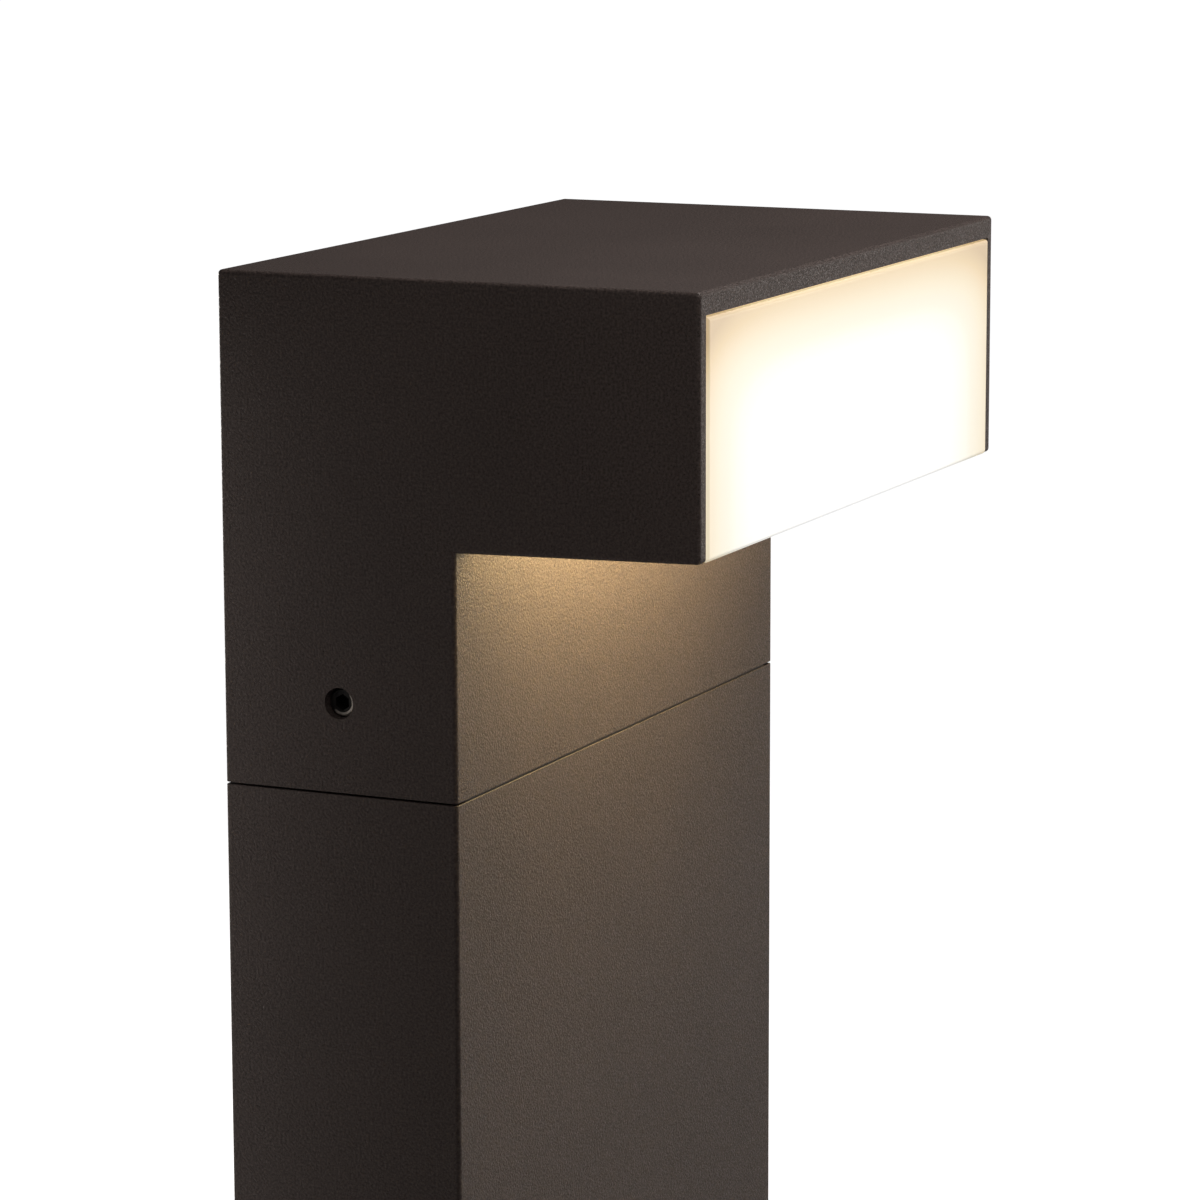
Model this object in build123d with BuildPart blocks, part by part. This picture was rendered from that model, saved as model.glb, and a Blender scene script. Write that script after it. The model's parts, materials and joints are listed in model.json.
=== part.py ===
from build123d import *
import os

# Bollard light, millimetres. +Z is up, the lit window faces -Y, +X is to the right seen from the front.
# The origin is on the ground, at the centre of the post's section.

# ---- Driving dimensions ----
TOTAL_HEIGHT = 500.0
WIDTH = 140.0                 # post and head, along X
POST_DEPTH = 45.0             # post and the head's column, along Y
HEAD_DEPTH = 90.0             # column and overhang together, along Y
HEAD_HEIGHT = 89.6            # seam to top
OVERHANG_FRONT = 45.2         # height of the overhang at its front
OVERHANG_DRAFT = 1.1          # its underside is this much lower at the column
SEAM_GAP = 0.4                # gasket between post and head
EDGE_RADIUS = 0.8             # outer edges of the castings
RIM_RADIUS = 0.12             # rims on both sides of the seam
FIT_GAP = 0.3                 # between a casting and what slides into it
SINK = 0.5                    # how far a boss runs into the wall that carries it

# ---- Foot ----
BASE_WIDTH = 180.0
BASE_DEPTH = 90.0
BASE_THICKNESS = 8.0
BASE_CORNER_RADIUS = 5.0
BASE_CHAMFER = 1.0
ANCHOR_SPACING_X = 156.0
ANCHOR_SPACING_Y = 66.0
ANCHOR_HOLE_RADIUS = 3.5
CABLE_HOLE_RADIUS = 9.0
CABLE_POCKET_RADIUS = 13.0
CABLE_POCKET_DEPTH = 3.0
GROMMET_BORE_RADIUS = 6.0
GROMMET_FLANGE_RADIUS = 12.0
GROMMET_FLANGE = 2.0
BASE_SCREW_RADIUS = 2.5
BASE_SCREW_HEAD_RADIUS = 4.9
BASE_SCREW_LENGTH = 26.0
BASE_SCREW_HOLE_RADIUS = 2.7
BASE_SCREW_SINK_RADIUS = 5.2
SINK_ANGLE = 90.0
BASE_SCREW_DRIVE = 1.6
BASE_SCREW_DRIVE_DEPTH = 2.0

# ---- Post ----
POST_WALL = 3.0
POST_INNER_RADIUS = 1.0
PORT_X = 61.5                 # screw ports of the extrusion
PORT_Y = 14.0
PORT_RADIUS = 5.0
PORT_HOLE_RADIUS = 2.6
PORT_SLOT = 1.6
WEB_X = 6.0                   # blocks that join each port to its corner
WEB_Y = 6.0

# ---- Seam gasket ----
GASKET_SIDE_SETBACK = 1.4
GASKET_FRONT_SETBACK = 0.2
GASKET_INNER_WIDTH = 104.0
GASKET_INNER_DEPTH = 30.0
GASKET_SCREW_HOLE_RADIUS = 3.0
GASKET_CORNER_RADIUS = 1.0
GASKET_OUTER_RADIUS = 3.0

# ---- Head ----
HEAD_WALL = 3.0               # column
SIDE_WALL = 2.5               # beside the window
TOP_WALL = 4.0
CAVITY_RADIUS = 1.5

# ---- Spigot, the coupling inside the head's column ----
FLANGE = 5.0
SPIGOT_HEIGHT = 44.0          # above the flange's underside
SPIGOT_WIDTH = 110.0
SPIGOT_WALL = 2.5
PAD_X = 58.5                  # clamping pads at the spigot's two ends
PAD_DEPTH = 16.0
SPIGOT_RADIUS = 2.0
SPIGOT_LEAD_IN = 1.0
SPIGOT_SCREW_RADIUS = 2.4
SPIGOT_SCREW_LENGTH = 24.0
SPIGOT_SCREW_HEAD_RADIUS = 4.25
SPIGOT_SCREW_HEAD = 3.2
SPIGOT_SCREW_HOLE_RADIUS = 2.7
SCREW_DRIVE_RADIUS = 1.7
SCREW_DRIVE_DEPTH = 1.8

# ---- Clamping screws ----
GRUB_ABOVE_SEAM = 15.7
GRUB_HOLE_RADIUS = 2.55
GRUB_RADIUS = 2.5
GRUB_LENGTH = 10.0
GRUB_BELOW_FACE = 1.4
GRUB_MOUTH_RADIUS = 2.75
GRUB_MOUTH_DEPTH = 2.0
GRUB_BOSS_RADIUS = 5.0
GRUB_BOSS_X = 60.0
GRUB_DRIVE_RADIUS = 1.44
GRUB_DRIVE_DEPTH = 3.0
GRUB_CHAMFER = 0.3

# ---- Cable gland in the spigot's floor ----
GLAND_X = -34.0
GLAND_BORE_RADIUS = 5.5
GLAND_THREAD_RADIUS = 8.0
GLAND_HOLE_RADIUS = 8.2
GLAND_COLLAR_RADIUS = 11.0
GLAND_COLLAR = 5.0
GLAND_LOWER = 9.0             # threaded part below the collar
GLAND_UPPER = 7.0             # threaded part above the flange
GLAND_CAP_HEIGHT = 15.0
GLAND_CAP_CHAMFER = 1.5
GLAND_SEAL_BORE = 4.5
GLAND_SEAL_RADIUS = 6.8
GLAND_SEAL_LENGTH = 8.0
LOCK_NUT_RADIUS = 12.0
LOCK_NUT = 4.0

# ---- Terminals ----
TERMINAL_X0 = -14.0
TERMINAL_X1 = 12.0
TERMINAL_DEPTH = 24.0
TERMINAL_HEIGHT = 16.0
POLE_PITCH = 7.0
TERMINAL_STEP = 5.0
WIRE_MOUTH_RADIUS = 1.6
WIRE_MOUTH_DEPTH = 7.0
WIRE_Z_ABOVE_FLOOR = 5.5
CLAMP_X = 8.0                 # clamp screws this far each side of the block's middle
CLAMP_RADIUS = 1.7
CLAMP_LENGTH = 7.0
CLAMP_HOLE_RADIUS = 1.9
CLAMP_SLOT = 0.6
CLAMP_SLOT_DEPTH = 0.8
CLAMP_RECESS = 1.5
TERMINAL_NOTCH = 1.0
FIXING_HEAD_RADIUS = 2.6
FIXING_HEAD = 2.0
FIXING_SINK = 4.0
FIXING_IN_FLOOR = 3.5

# ---- Plug connection between post and head ----
PLUG_X = 42.0
CONTACT_PITCH = 5.5
SOCKET_WIDTH = 12.0
SOCKET_DEPTH = 18.0
SOCKET_HEIGHT = 20.0
SOCKET_FLANGE_WIDTH = 16.0
SOCKET_FLANGE_DEPTH = 24.0
SOCKET_FLANGE = 2.0
CONTACT_HOLE_RADIUS = 1.2
CONTACT_HOLE_DEPTH = 11.0
SOCKET_CHAMFER = 0.8
BRACKET_Z = 438.0
BRACKET_X0 = 23.5
BRACKET_X1 = 51.5
BRACKET_DEPTH = 32.0
BRACKET_SHEET = 1.5
PILLAR_X = 28.0               # the two pillars with screws
PILLAR_FAR_X = 50.0           # the two plain ones at the spigot's end
PILLAR_Y = 13.0
PILLAR_RADIUS = 3.2
CUTOUT_GAP = 0.2
PLUG_BOTTOM = 450.0
PLUG_TOP = 472.0
PIN_RADIUS = 0.8
PIN_LENGTH = 8.5
PIN_HELD = 4.0
PIN_CHAMFER = 0.3

# ---- Gear tray and driver, in the head's column ----
TRAY_Z = 466.0
TRAY_WIDTH = 131.0
TRAY_DEPTH = 34.0
TRAY_SHEET = 1.5
TRAY_BOSS_X = 61.0
TRAY_BOSS_RADIUS = 4.0
TRAY_HOLE_RADIUS = 1.7
DRIVER_X0 = -46.0
DRIVER_X1 = 22.0
DRIVER_DEPTH = 28.0
DRIVER_Y = 1.0                # centre of the case
DRIVER_HEIGHT = 26.0
DRIVER_WALL = 1.5
DRIVER_EAR = 8.0
DRIVER_EAR_HEIGHT = 2.0
DRIVER_EAR_DEPTH = 14.0
DRIVER_RADIUS = 1.5
BOARD_SHEET = 1.6
BOARD_LIFT = 3.0
BOARD_GAP = 0.4
TRANSFORMER = 18.0
CHOKE = 9.0
CAPACITOR_RADIUS = 5.0
CAPACITOR_HEIGHT = 15.0
TALL_COMPONENT = 14.0
LOW_COMPONENT = 8.0

# ---- Small screws of the head ----
SMALL_RADIUS = 1.5
SMALL_HEAD_RADIUS = 2.8
SMALL_HEAD = 1.9
SMALL_DRIVE_RADIUS = 1.15
SMALL_DRIVE_DEPTH = 1.1
SMALL_LENGTH = 7.0
SMALL_HOLE_RADIUS = 1.6
BLIND_HOLE = 4.3
TRAY_BLIND_HOLE = 7.0

# ---- Window and light engine ----
WINDOW_PROUD = 0.3            # stands this far out of the head's front
WINDOW_GAP = 0.3
WINDOW_WALL = 2.5
WINDOW_SIDE = 1.5
WINDOW_RIM = 10.0             # depth of the rim behind the two panes
WINDOW_REAR_RIM = 2.0
WINDOW_EDGE_RADIUS = 0.8
SEAL_THICKNESS = 1.5
SEAL_WIDTH = 2.0
LEDGE_HEIGHT = 3.0
PAD_HEIGHT = 2.0              # cast seat for the light engine under the top wall
THERMAL_PAD = 0.5
LED_BOARD_WIDTH = 120.0
LED_BOARD_DEPTH = 28.0
LED_BOARD_Y = -41.5
LED_COUNT_X = 8
LED_PITCH_X = 14.0
LED_PITCH_Y = 12.0
LED_SIZE = 3.0
LED_HEIGHT = 0.7
LED_DOME_RADIUS = 1.1
LED_DOME = 0.3
LED_WINDOW_RADIUS = 2.9
BOARD_SCREW_X = 42.0
BOARD_SCREW_Y = 10.5
REFLECTOR_SHEET = 1.0
REFLECTOR_SKIRT = 20.0
REFLECTOR_MARGIN = 2.0        # reflector beyond the board, at its ends and its rear
REFLECTOR_NOTCH = 12.0
REFLECTOR_NOTCH_DEPTH = 8.5
REFLECTOR_NOTCH_HEIGHT = 8.0

# ---- Leads ----
FEED_X = -52.0                # where the two LED leads pass the partition
FEED_BELOW_CEILING = 7.8
FEED_SPREAD = 1.0
FEED_HOLE_RADIUS = 4.0
FEED_FLANGE_RADIUS = 5.5
FEED_FLANGE = 1.2
FEED_BORE_RADIUS = 2.0
CONNECTOR_WIDTH = 8.0
CONNECTOR_DEPTH = 5.0
CONNECTOR_HEIGHT = 5.0
CONNECTOR_SETBACK = 1.0
CONNECTOR_CHAMFER = 0.5
LED_LEAD_BEND = 4.0
LED_LEAD_Y = -5.0
LED_LEAD_STEP = 3.5
MAINS_BEND = 4.0
TIGHT_BEND = 2.0
IN_MOUTH = 4.0                # a lead starts this deep in its terminal
LED_LEAD_RADIUS = 0.8
MAINS_LEAD_RADIUS = 1.1
LUG_SHEET = 0.8
LUG_RADIUS = 3.6
LUG_HOLE_RADIUS = 2.1
LUG_BARREL_RADIUS = 1.8
LUG_BARREL = 5.0
LUG_REACH = 8.5               # from the screw to the barrel's mouth
EARTH_SCREW_RADIUS = 1.9
EARTH_HOLE_RADIUS = 2.0
EARTH_SCREW_LENGTH = 4.5
EARTH_HOLE_DEPTH = 4.0
EARTH_BOSS_RADIUS = 4.5
EARTH_BOSS = 3.0
BOND_BOSS = 2.0
BOND_X = -19.0
BOND_Z = 446.0
BOND_RISE = 9.0
HEAD_EARTH_Z = 489.0
UPPER_LEAD_Z = 480.0
EARTH_TURN_Z = 474.5
EARTH_RISE = 3.0

# ---- Levels and places worked out from the dimensions above ----
HALF_WIDTH = WIDTH / 2
HALF_DEPTH = POST_DEPTH / 2
HEAD_BOTTOM = TOTAL_HEIGHT - HEAD_HEIGHT
POST_TOP = HEAD_BOTTOM - SEAM_GAP
CEILING = TOTAL_HEIGHT - TOP_WALL
FRONT_Y = HALF_DEPTH - HEAD_DEPTH
UNDER_FRONT = TOTAL_HEIGHT - OVERHANG_FRONT
UNDER_REAR = UNDER_FRONT - OVERHANG_DRAFT
COLUMN_INNER_X = HALF_WIDTH - HEAD_WALL
COLUMN_INNER_Y = HALF_DEPTH - HEAD_WALL
PARTITION_Y = -HALF_DEPTH
GRUB_Z = HEAD_BOTTOM + GRUB_ABOVE_SEAM
FLOOR = HEAD_BOTTOM + FLANGE
SPIGOT_INNER_Y = COLUMN_INNER_Y - FIT_GAP - SPIGOT_WALL
SPIGOT_INNER_X = SPIGOT_WIDTH / 2 - SPIGOT_WALL
TRAY_TOP = TRAY_Z + TRAY_SHEET
WIRE_Z = FLOOR + WIRE_Z_ABOVE_FLOOR
TERMINAL_MIDDLE = (TERMINAL_X0 + TERMINAL_X1) / 2
SOCKET_TOP = PLUG_BOTTOM - WINDOW_GAP
SOCKET_BOTTOM = SOCKET_TOP - SOCKET_HEIGHT
BRACKET_TOP = BRACKET_Z + BRACKET_SHEET
PAD_Z = CEILING - PAD_HEIGHT
LED_BOARD_TOP = PAD_Z - THERMAL_PAD
LED_BOARD_BOTTOM = LED_BOARD_TOP - BOARD_SHEET
REFLECTOR_Z = LED_BOARD_BOTTOM - REFLECTOR_SHEET
FEED_Z = CEILING - FEED_BELOW_CEILING
WINDOW_HALF_WIDTH = HALF_WIDTH - SIDE_WALL - WINDOW_GAP
WINDOW_FRONT_Y = FRONT_Y - WINDOW_PROUD
WINDOW_REAR_Y = PARTITION_Y - WINDOW_GAP
WINDOW_TOP = CEILING - WINDOW_GAP
SEAL_FRONT_Y = FRONT_Y + WINDOW_RIM
SEAL_Z = UNDER_FRONT + WINDOW_RIM
LEDGE_FRONT_Y = SEAL_FRONT_Y + SEAL_THICKNESS
LEDGE_Z = SEAL_Z + SEAL_THICKNESS
LEDGE_HALF_WIDTH = HALF_WIDTH - SIDE_WALL - SEAL_WIDTH
POLES = (-POLE_PITCH, 0.0, POLE_PITCH)
CONTACTS = (-CONTACT_PITCH, 0.0, CONTACT_PITCH)
MAINS_NAMES = ("neutral", "live", "earth")
TERMINAL_FIXINGS = [(TERMINAL_MIDDLE, -POLE_PITCH / 2), (TERMINAL_MIDDLE, POLE_PITCH / 2)]
PORTS = [(PORT_X, PORT_Y), (PORT_X, -PORT_Y), (-PORT_X, PORT_Y), (-PORT_X, -PORT_Y)]
BOARD_SCREWS = [
    (x, LED_BOARD_Y + y)
    for x in (-BOARD_SCREW_X, BOARD_SCREW_X)
    for y in (-BOARD_SCREW_Y, BOARD_SCREW_Y)
]
DRIVER_MIDDLE = (DRIVER_X0 + DRIVER_X1) / 2
DRIVER_WIDTH = DRIVER_X1 - DRIVER_X0
DRIVER_SCREWS = [(DRIVER_X0 - DRIVER_EAR / 2, DRIVER_Y), (DRIVER_X1 + DRIVER_EAR / 2, DRIVER_Y)]
DRIVER_TOP = TRAY_TOP + DRIVER_HEIGHT


def level(height):
    """A plane at this height, facing up."""
    return Plane.XY.offset(height)


def facing_down(x, y, height):
    """A plane at this point, facing down."""
    return Plane(origin=(x, y, height), x_dir=(1, 0, 0), z_dir=(0, 0, -1))


def make_screws(places, shank_radius, length, head_radius, head_height, drive_radius, drive_depth):
    """Socket screws, one for each plane. A plane lies under the head and faces out of the material."""
    with BuildPart() as screws:
        for place in places:
            with BuildSketch(place):
                Circle(head_radius)
            extrude(amount=head_height)
            with BuildSketch(place):
                Circle(shank_radius)
            extrude(amount=-length)
            with BuildSketch(place.offset(head_height)):
                RegularPolygon(drive_radius, 6)
            extrude(amount=-drive_depth, mode=Mode.SUBTRACT)
    return screws


def make_lead(route_points, bend_radii, lead_radius):
    """An insulated lead along straight runs joined by tangent arcs."""
    with BuildPart() as lead:
        with BuildLine() as route:
            FilletPolyline(*route_points, radius=bend_radii)
        with BuildSketch(Plane(origin=route.line @ 0, z_dir=route.line % 0)):
            Circle(lead_radius)
        sweep()
    return lead


def make_lug(x, wall_y, z, inward):
    """A crimped ring lug flat on a boss, with its barrel hanging down; inward is -1 or 1 along Y."""
    face = Plane(origin=(x, wall_y, z), x_dir=(1, 0, 0), z_dir=(0, inward, 0))
    barrel_y = wall_y + inward * LUG_BARREL_RADIUS
    with BuildPart() as lug:
        with BuildSketch(face):
            Circle(LUG_RADIUS)
        extrude(amount=LUG_SHEET)
        neck = level(z - LUG_REACH + LUG_BARREL)
        with BuildSketch(neck):
            with Locations((x, wall_y + inward * LUG_SHEET / 2)):
                Rectangle(2 * LUG_BARREL_RADIUS, LUG_SHEET)
        extrude(amount=LUG_REACH - LUG_BARREL)
        with BuildSketch(level(z - LUG_REACH)):
            with Locations((x, barrel_y)):
                Circle(LUG_BARREL_RADIUS)
        extrude(amount=LUG_BARREL)
        with BuildSketch(face):
            Circle(LUG_HOLE_RADIUS)
        extrude(amount=LUG_SHEET, mode=Mode.SUBTRACT)
    return lug


os.makedirs("parts", exist_ok=True)

# ==== Foot ====
with BuildPart() as base_plate:
    with BuildSketch():
        RectangleRounded(BASE_WIDTH, BASE_DEPTH, BASE_CORNER_RADIUS)
    extrude(amount=BASE_THICKNESS)
    chamfer(base_plate.edges().group_by(Axis.Z)[-1], length=BASE_CHAMFER)
    with Locations((0, 0, BASE_THICKNESS)):
        with GridLocations(ANCHOR_SPACING_X, ANCHOR_SPACING_Y, 2, 2):
            Hole(radius=ANCHOR_HOLE_RADIUS)
    with Locations(facing_down(0, 0, 0)):
        CounterBoreHole(CABLE_HOLE_RADIUS, CABLE_POCKET_RADIUS, CABLE_POCKET_DEPTH, BASE_THICKNESS)
        with Locations(*PORTS):
            CounterSinkHole(
                BASE_SCREW_HOLE_RADIUS, BASE_SCREW_SINK_RADIUS, BASE_THICKNESS, SINK_ANGLE
            )
base_plate.part.label = "base_plate"
export_step(base_plate.part, "parts/base_plate.step")

with BuildPart() as base_screws:
    cone = BASE_SCREW_HEAD_RADIUS - BASE_SCREW_RADIUS
    rim = BASE_SCREW_SINK_RADIUS - BASE_SCREW_HEAD_RADIUS
    for port_x, port_y in PORTS:
        with BuildSketch(Plane(origin=(port_x, port_y, 0), x_dir=(1, 0, 0), z_dir=(0, -1, 0))):
            with BuildLine():
                Polyline(
                    (0, rim),
                    (BASE_SCREW_HEAD_RADIUS, rim),
                    (BASE_SCREW_RADIUS, rim + cone),
                    (BASE_SCREW_RADIUS, BASE_SCREW_LENGTH),
                    (0, BASE_SCREW_LENGTH),
                    close=True,
                )
            make_face()
        revolve(axis=Axis((port_x, port_y, 0), (0, 0, 1)))
        with BuildSketch(level(rim)):
            with Locations((port_x, port_y)):
                RegularPolygon(BASE_SCREW_DRIVE, 6)
        extrude(amount=BASE_SCREW_DRIVE_DEPTH, mode=Mode.SUBTRACT)
base_screws.part.label = "base_screws"
export_step(base_screws.part, "parts/base_screws.step")

with BuildPart() as cable_grommet:
    with BuildSketch(level(CABLE_POCKET_DEPTH - GROMMET_FLANGE)):
        Circle(GROMMET_FLANGE_RADIUS)
    extrude(amount=GROMMET_FLANGE)
    with BuildSketch(level(CABLE_POCKET_DEPTH)):
        Circle(CABLE_HOLE_RADIUS)
    extrude(amount=BASE_THICKNESS - CABLE_POCKET_DEPTH)
    with BuildSketch(level(BASE_THICKNESS)):
        Circle(GROMMET_FLANGE_RADIUS)
    extrude(amount=GROMMET_FLANGE)
    with Locations((0, 0, BASE_THICKNESS + GROMMET_FLANGE)):
        Hole(radius=GROMMET_BORE_RADIUS)
cable_grommet.part.label = "cable_grommet"
export_step(cable_grommet.part, "parts/cable_grommet.step")

# ==== Post ====
with BuildPart() as post_profile:
    with BuildSketch(level(BASE_THICKNESS)):
        RectangleRounded(WIDTH, POST_DEPTH, EDGE_RADIUS)
        RectangleRounded(
            WIDTH - 2 * POST_WALL, POST_DEPTH - 2 * POST_WALL, POST_INNER_RADIUS, mode=Mode.SUBTRACT
        )
        with Locations(*PORTS):
            Circle(PORT_RADIUS)
        for port_x, port_y in PORTS:
            side_x = 1 if port_x > 0 else -1
            side_y = 1 if port_y > 0 else -1
            with Locations((port_x + side_x * WEB_X / 2, port_y + side_y * WEB_Y / 2)):
                Rectangle(WEB_X, WEB_Y)
            with Locations((port_x - side_x * PORT_RADIUS / 2, port_y)):
                Rectangle(PORT_RADIUS + SINK, PORT_SLOT, mode=Mode.SUBTRACT)
        with Locations(*PORTS):
            Circle(PORT_HOLE_RADIUS, mode=Mode.SUBTRACT)
    extrude(amount=POST_TOP - BASE_THICKNESS)
    fillet(post_profile.faces().sort_by(Axis.Z)[-1].outer_wire().edges(), RIM_RADIUS)
post_profile.part.label = "post_profile"
export_step(post_profile.part, "parts/post_profile.step")

with BuildPart() as seam_gasket:
    with BuildSketch(level(POST_TOP)):
        RectangleRounded(
            WIDTH - 2 * GASKET_SIDE_SETBACK, POST_DEPTH - 2 * GASKET_FRONT_SETBACK, GASKET_OUTER_RADIUS
        )
        RectangleRounded(
            GASKET_INNER_WIDTH, GASKET_INNER_DEPTH, GASKET_CORNER_RADIUS, mode=Mode.SUBTRACT
        )
        with Locations(*PORTS):
            Circle(GASKET_SCREW_HOLE_RADIUS, mode=Mode.SUBTRACT)
    extrude(amount=SEAM_GAP)
seam_gasket.part.label = "seam_gasket"
export_step(seam_gasket.part, "parts/seam_gasket.step")

# ==== Spigot ====
with BuildPart() as spigot:
    with BuildSketch(level(HEAD_BOTTOM)):
        RectangleRounded(
            2 * (COLUMN_INNER_X - FIT_GAP), 2 * (COLUMN_INNER_Y - FIT_GAP), SPIGOT_RADIUS
        )
    extrude(amount=FLANGE)
    with BuildSketch(level(FLOOR)):
        RectangleRounded(SPIGOT_WIDTH, 2 * (COLUMN_INNER_Y - FIT_GAP), SPIGOT_RADIUS)
        Rectangle(2 * PAD_X, PAD_DEPTH)
    extrude(amount=SPIGOT_HEIGHT - FLANGE)
    chamfer(spigot.faces().sort_by(Axis.Z)[-1].edges(), length=SPIGOT_LEAD_IN)
    with BuildSketch(level(FLOOR)):
        RectangleRounded(2 * SPIGOT_INNER_X, 2 * SPIGOT_INNER_Y, SPIGOT_RADIUS)
    extrude(amount=SPIGOT_HEIGHT, mode=Mode.SUBTRACT)
    with BuildSketch(level(FLOOR)):
        for pillar_x in (PILLAR_X, PILLAR_FAR_X):
            for side in (-1, 1):
                with Locations((pillar_x, side * PILLAR_Y)):
                    Circle(PILLAR_RADIUS)
                with Locations((pillar_x, side * SPIGOT_INNER_Y)):
                    Rectangle(PILLAR_RADIUS, 2 * SPIGOT_WALL)
    extrude(amount=BRACKET_Z - FLOOR)
    bond_face = Plane(origin=(BOND_X, SPIGOT_INNER_Y - BOND_BOSS, BOND_Z), z_dir=(0, -1, 0))
    with BuildSketch(bond_face):
        Circle(EARTH_BOSS_RADIUS)
    extrude(amount=-BOND_BOSS - SINK)
    with Locations(bond_face):
        Hole(radius=EARTH_HOLE_RADIUS, depth=EARTH_HOLE_DEPTH)
    with Locations((PILLAR_X, PILLAR_Y, BRACKET_Z), (PILLAR_X, -PILLAR_Y, BRACKET_Z)):
        Hole(radius=SMALL_HOLE_RADIUS, depth=SMALL_LENGTH)
    with Locations((GLAND_X, 0, FLOOR)):
        Hole(radius=GLAND_HOLE_RADIUS, depth=2 * FLANGE)
    with Locations(*[(x, y, FLOOR) for x, y in PORTS]):
        Hole(radius=SPIGOT_SCREW_HOLE_RADIUS, depth=2 * FLANGE)
    with Locations(*[(x, y, FLOOR) for x, y in TERMINAL_FIXINGS]):
        Hole(radius=SMALL_HOLE_RADIUS, depth=FIXING_IN_FLOOR)
spigot.part.label = "spigot"
export_step(spigot.part, "parts/spigot.step")

spigot_screws = make_screws(
    [Plane(origin=(x, y, FLOOR)) for x, y in PORTS],
    SPIGOT_SCREW_RADIUS,
    SPIGOT_SCREW_LENGTH,
    SPIGOT_SCREW_HEAD_RADIUS,
    SPIGOT_SCREW_HEAD,
    SCREW_DRIVE_RADIUS,
    SCREW_DRIVE_DEPTH,
)
spigot_screws.part.label = "spigot_screws"
export_step(spigot_screws.part, "parts/spigot_screws.step")

# ==== Cable gland ====
GLAND_COLLAR_BOTTOM = HEAD_BOTTOM - GLAND_COLLAR
GLAND_BOTTOM = GLAND_COLLAR_BOTTOM - GLAND_LOWER
with BuildPart() as gland_body:
    with BuildSketch(level(GLAND_COLLAR_BOTTOM)):
        with Locations((GLAND_X, 0)):
            RegularPolygon(GLAND_COLLAR_RADIUS, 6)
    extrude(amount=GLAND_COLLAR)
    with BuildSketch(level(GLAND_BOTTOM)):
        with Locations((GLAND_X, 0)):
            Circle(GLAND_THREAD_RADIUS)
    extrude(amount=GLAND_LOWER + GLAND_COLLAR + FLANGE + GLAND_UPPER)
    with Locations((GLAND_X, 0, FLOOR + GLAND_UPPER)):
        Hole(radius=GLAND_BORE_RADIUS)
    with Locations(facing_down(GLAND_X, 0, GLAND_BOTTOM)):
        Hole(radius=GLAND_SEAL_RADIUS, depth=GLAND_SEAL_LENGTH)
gland_body.part.label = "gland_body"
export_step(gland_body.part, "parts/gland_body.step")

with BuildPart() as gland_seal:
    with BuildSketch(level(GLAND_BOTTOM)):
        with Locations((GLAND_X, 0)):
            Circle(GLAND_SEAL_RADIUS)
            Circle(GLAND_SEAL_BORE, mode=Mode.SUBTRACT)
    extrude(amount=GLAND_SEAL_LENGTH)
gland_seal.part.label = "gland_seal"
export_step(gland_seal.part, "parts/gland_seal.step")

with BuildPart() as gland_cap_nut:
    with BuildSketch(level(GLAND_COLLAR_BOTTOM - GLAND_CAP_HEIGHT)):
        with Locations((GLAND_X, 0)):
            RegularPolygon(GLAND_COLLAR_RADIUS, 6)
    extrude(amount=GLAND_CAP_HEIGHT)
    chamfer(gland_cap_nut.faces().sort_by(Axis.Z)[0].edges(), length=GLAND_CAP_CHAMFER)
    with Locations((GLAND_X, 0, GLAND_COLLAR_BOTTOM)):
        Hole(radius=GLAND_THREAD_RADIUS, depth=GLAND_LOWER)
    with Locations((GLAND_X, 0, GLAND_COLLAR_BOTTOM)):
        Hole(radius=GLAND_BORE_RADIUS)
gland_cap_nut.part.label = "gland_cap_nut"
export_step(gland_cap_nut.part, "parts/gland_cap_nut.step")

with BuildPart() as gland_lock_nut:
    with BuildSketch(level(FLOOR)):
        with Locations((GLAND_X, 0)):
            RegularPolygon(LOCK_NUT_RADIUS, 6)
            Circle(GLAND_THREAD_RADIUS, mode=Mode.SUBTRACT)
    extrude(amount=LOCK_NUT)
gland_lock_nut.part.label = "gland_lock_nut"
export_step(gland_lock_nut.part, "parts/gland_lock_nut.step")

# ==== Terminals ====
with BuildPart() as terminal_block:
    with BuildSketch(level(FLOOR)):
        with Locations((TERMINAL_MIDDLE, 0)):
            Rectangle(TERMINAL_X1 - TERMINAL_X0, TERMINAL_DEPTH)
    extrude(amount=TERMINAL_HEIGHT - TERMINAL_STEP)
    with BuildSketch(level(FLOOR + TERMINAL_HEIGHT - TERMINAL_STEP)):
        with Locations((TERMINAL_MIDDLE, 0)):
            with GridLocations(0, POLE_PITCH, 1, 3):
                Rectangle(TERMINAL_X1 - TERMINAL_X0, POLE_PITCH - TERMINAL_NOTCH)
    extrude(amount=TERMINAL_STEP)
    for wire_y in POLES:
        for end_x, outward in ((TERMINAL_X0, -1), (TERMINAL_X1, 1)):
            with Locations(Plane(origin=(end_x, wire_y, WIRE_Z), z_dir=(outward, 0, 0))):
                Hole(radius=WIRE_MOUTH_RADIUS, depth=WIRE_MOUTH_DEPTH)
    with Locations((TERMINAL_MIDDLE, 0, FLOOR + TERMINAL_HEIGHT)):
        with GridLocations(2 * CLAMP_X, POLE_PITCH, 2, 3):
            Hole(radius=CLAMP_HOLE_RADIUS, depth=CLAMP_LENGTH + CLAMP_RECESS)
    with Locations(*[(x, y, FLOOR + TERMINAL_HEIGHT) for x, y in TERMINAL_FIXINGS]):
        CounterBoreHole(SMALL_HOLE_RADIUS, FIXING_HEAD_RADIUS + FIT_GAP, FIXING_SINK, TERMINAL_HEIGHT)
terminal_block.part.label = "terminal_block"
export_step(terminal_block.part, "parts/terminal_block.step")

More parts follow.
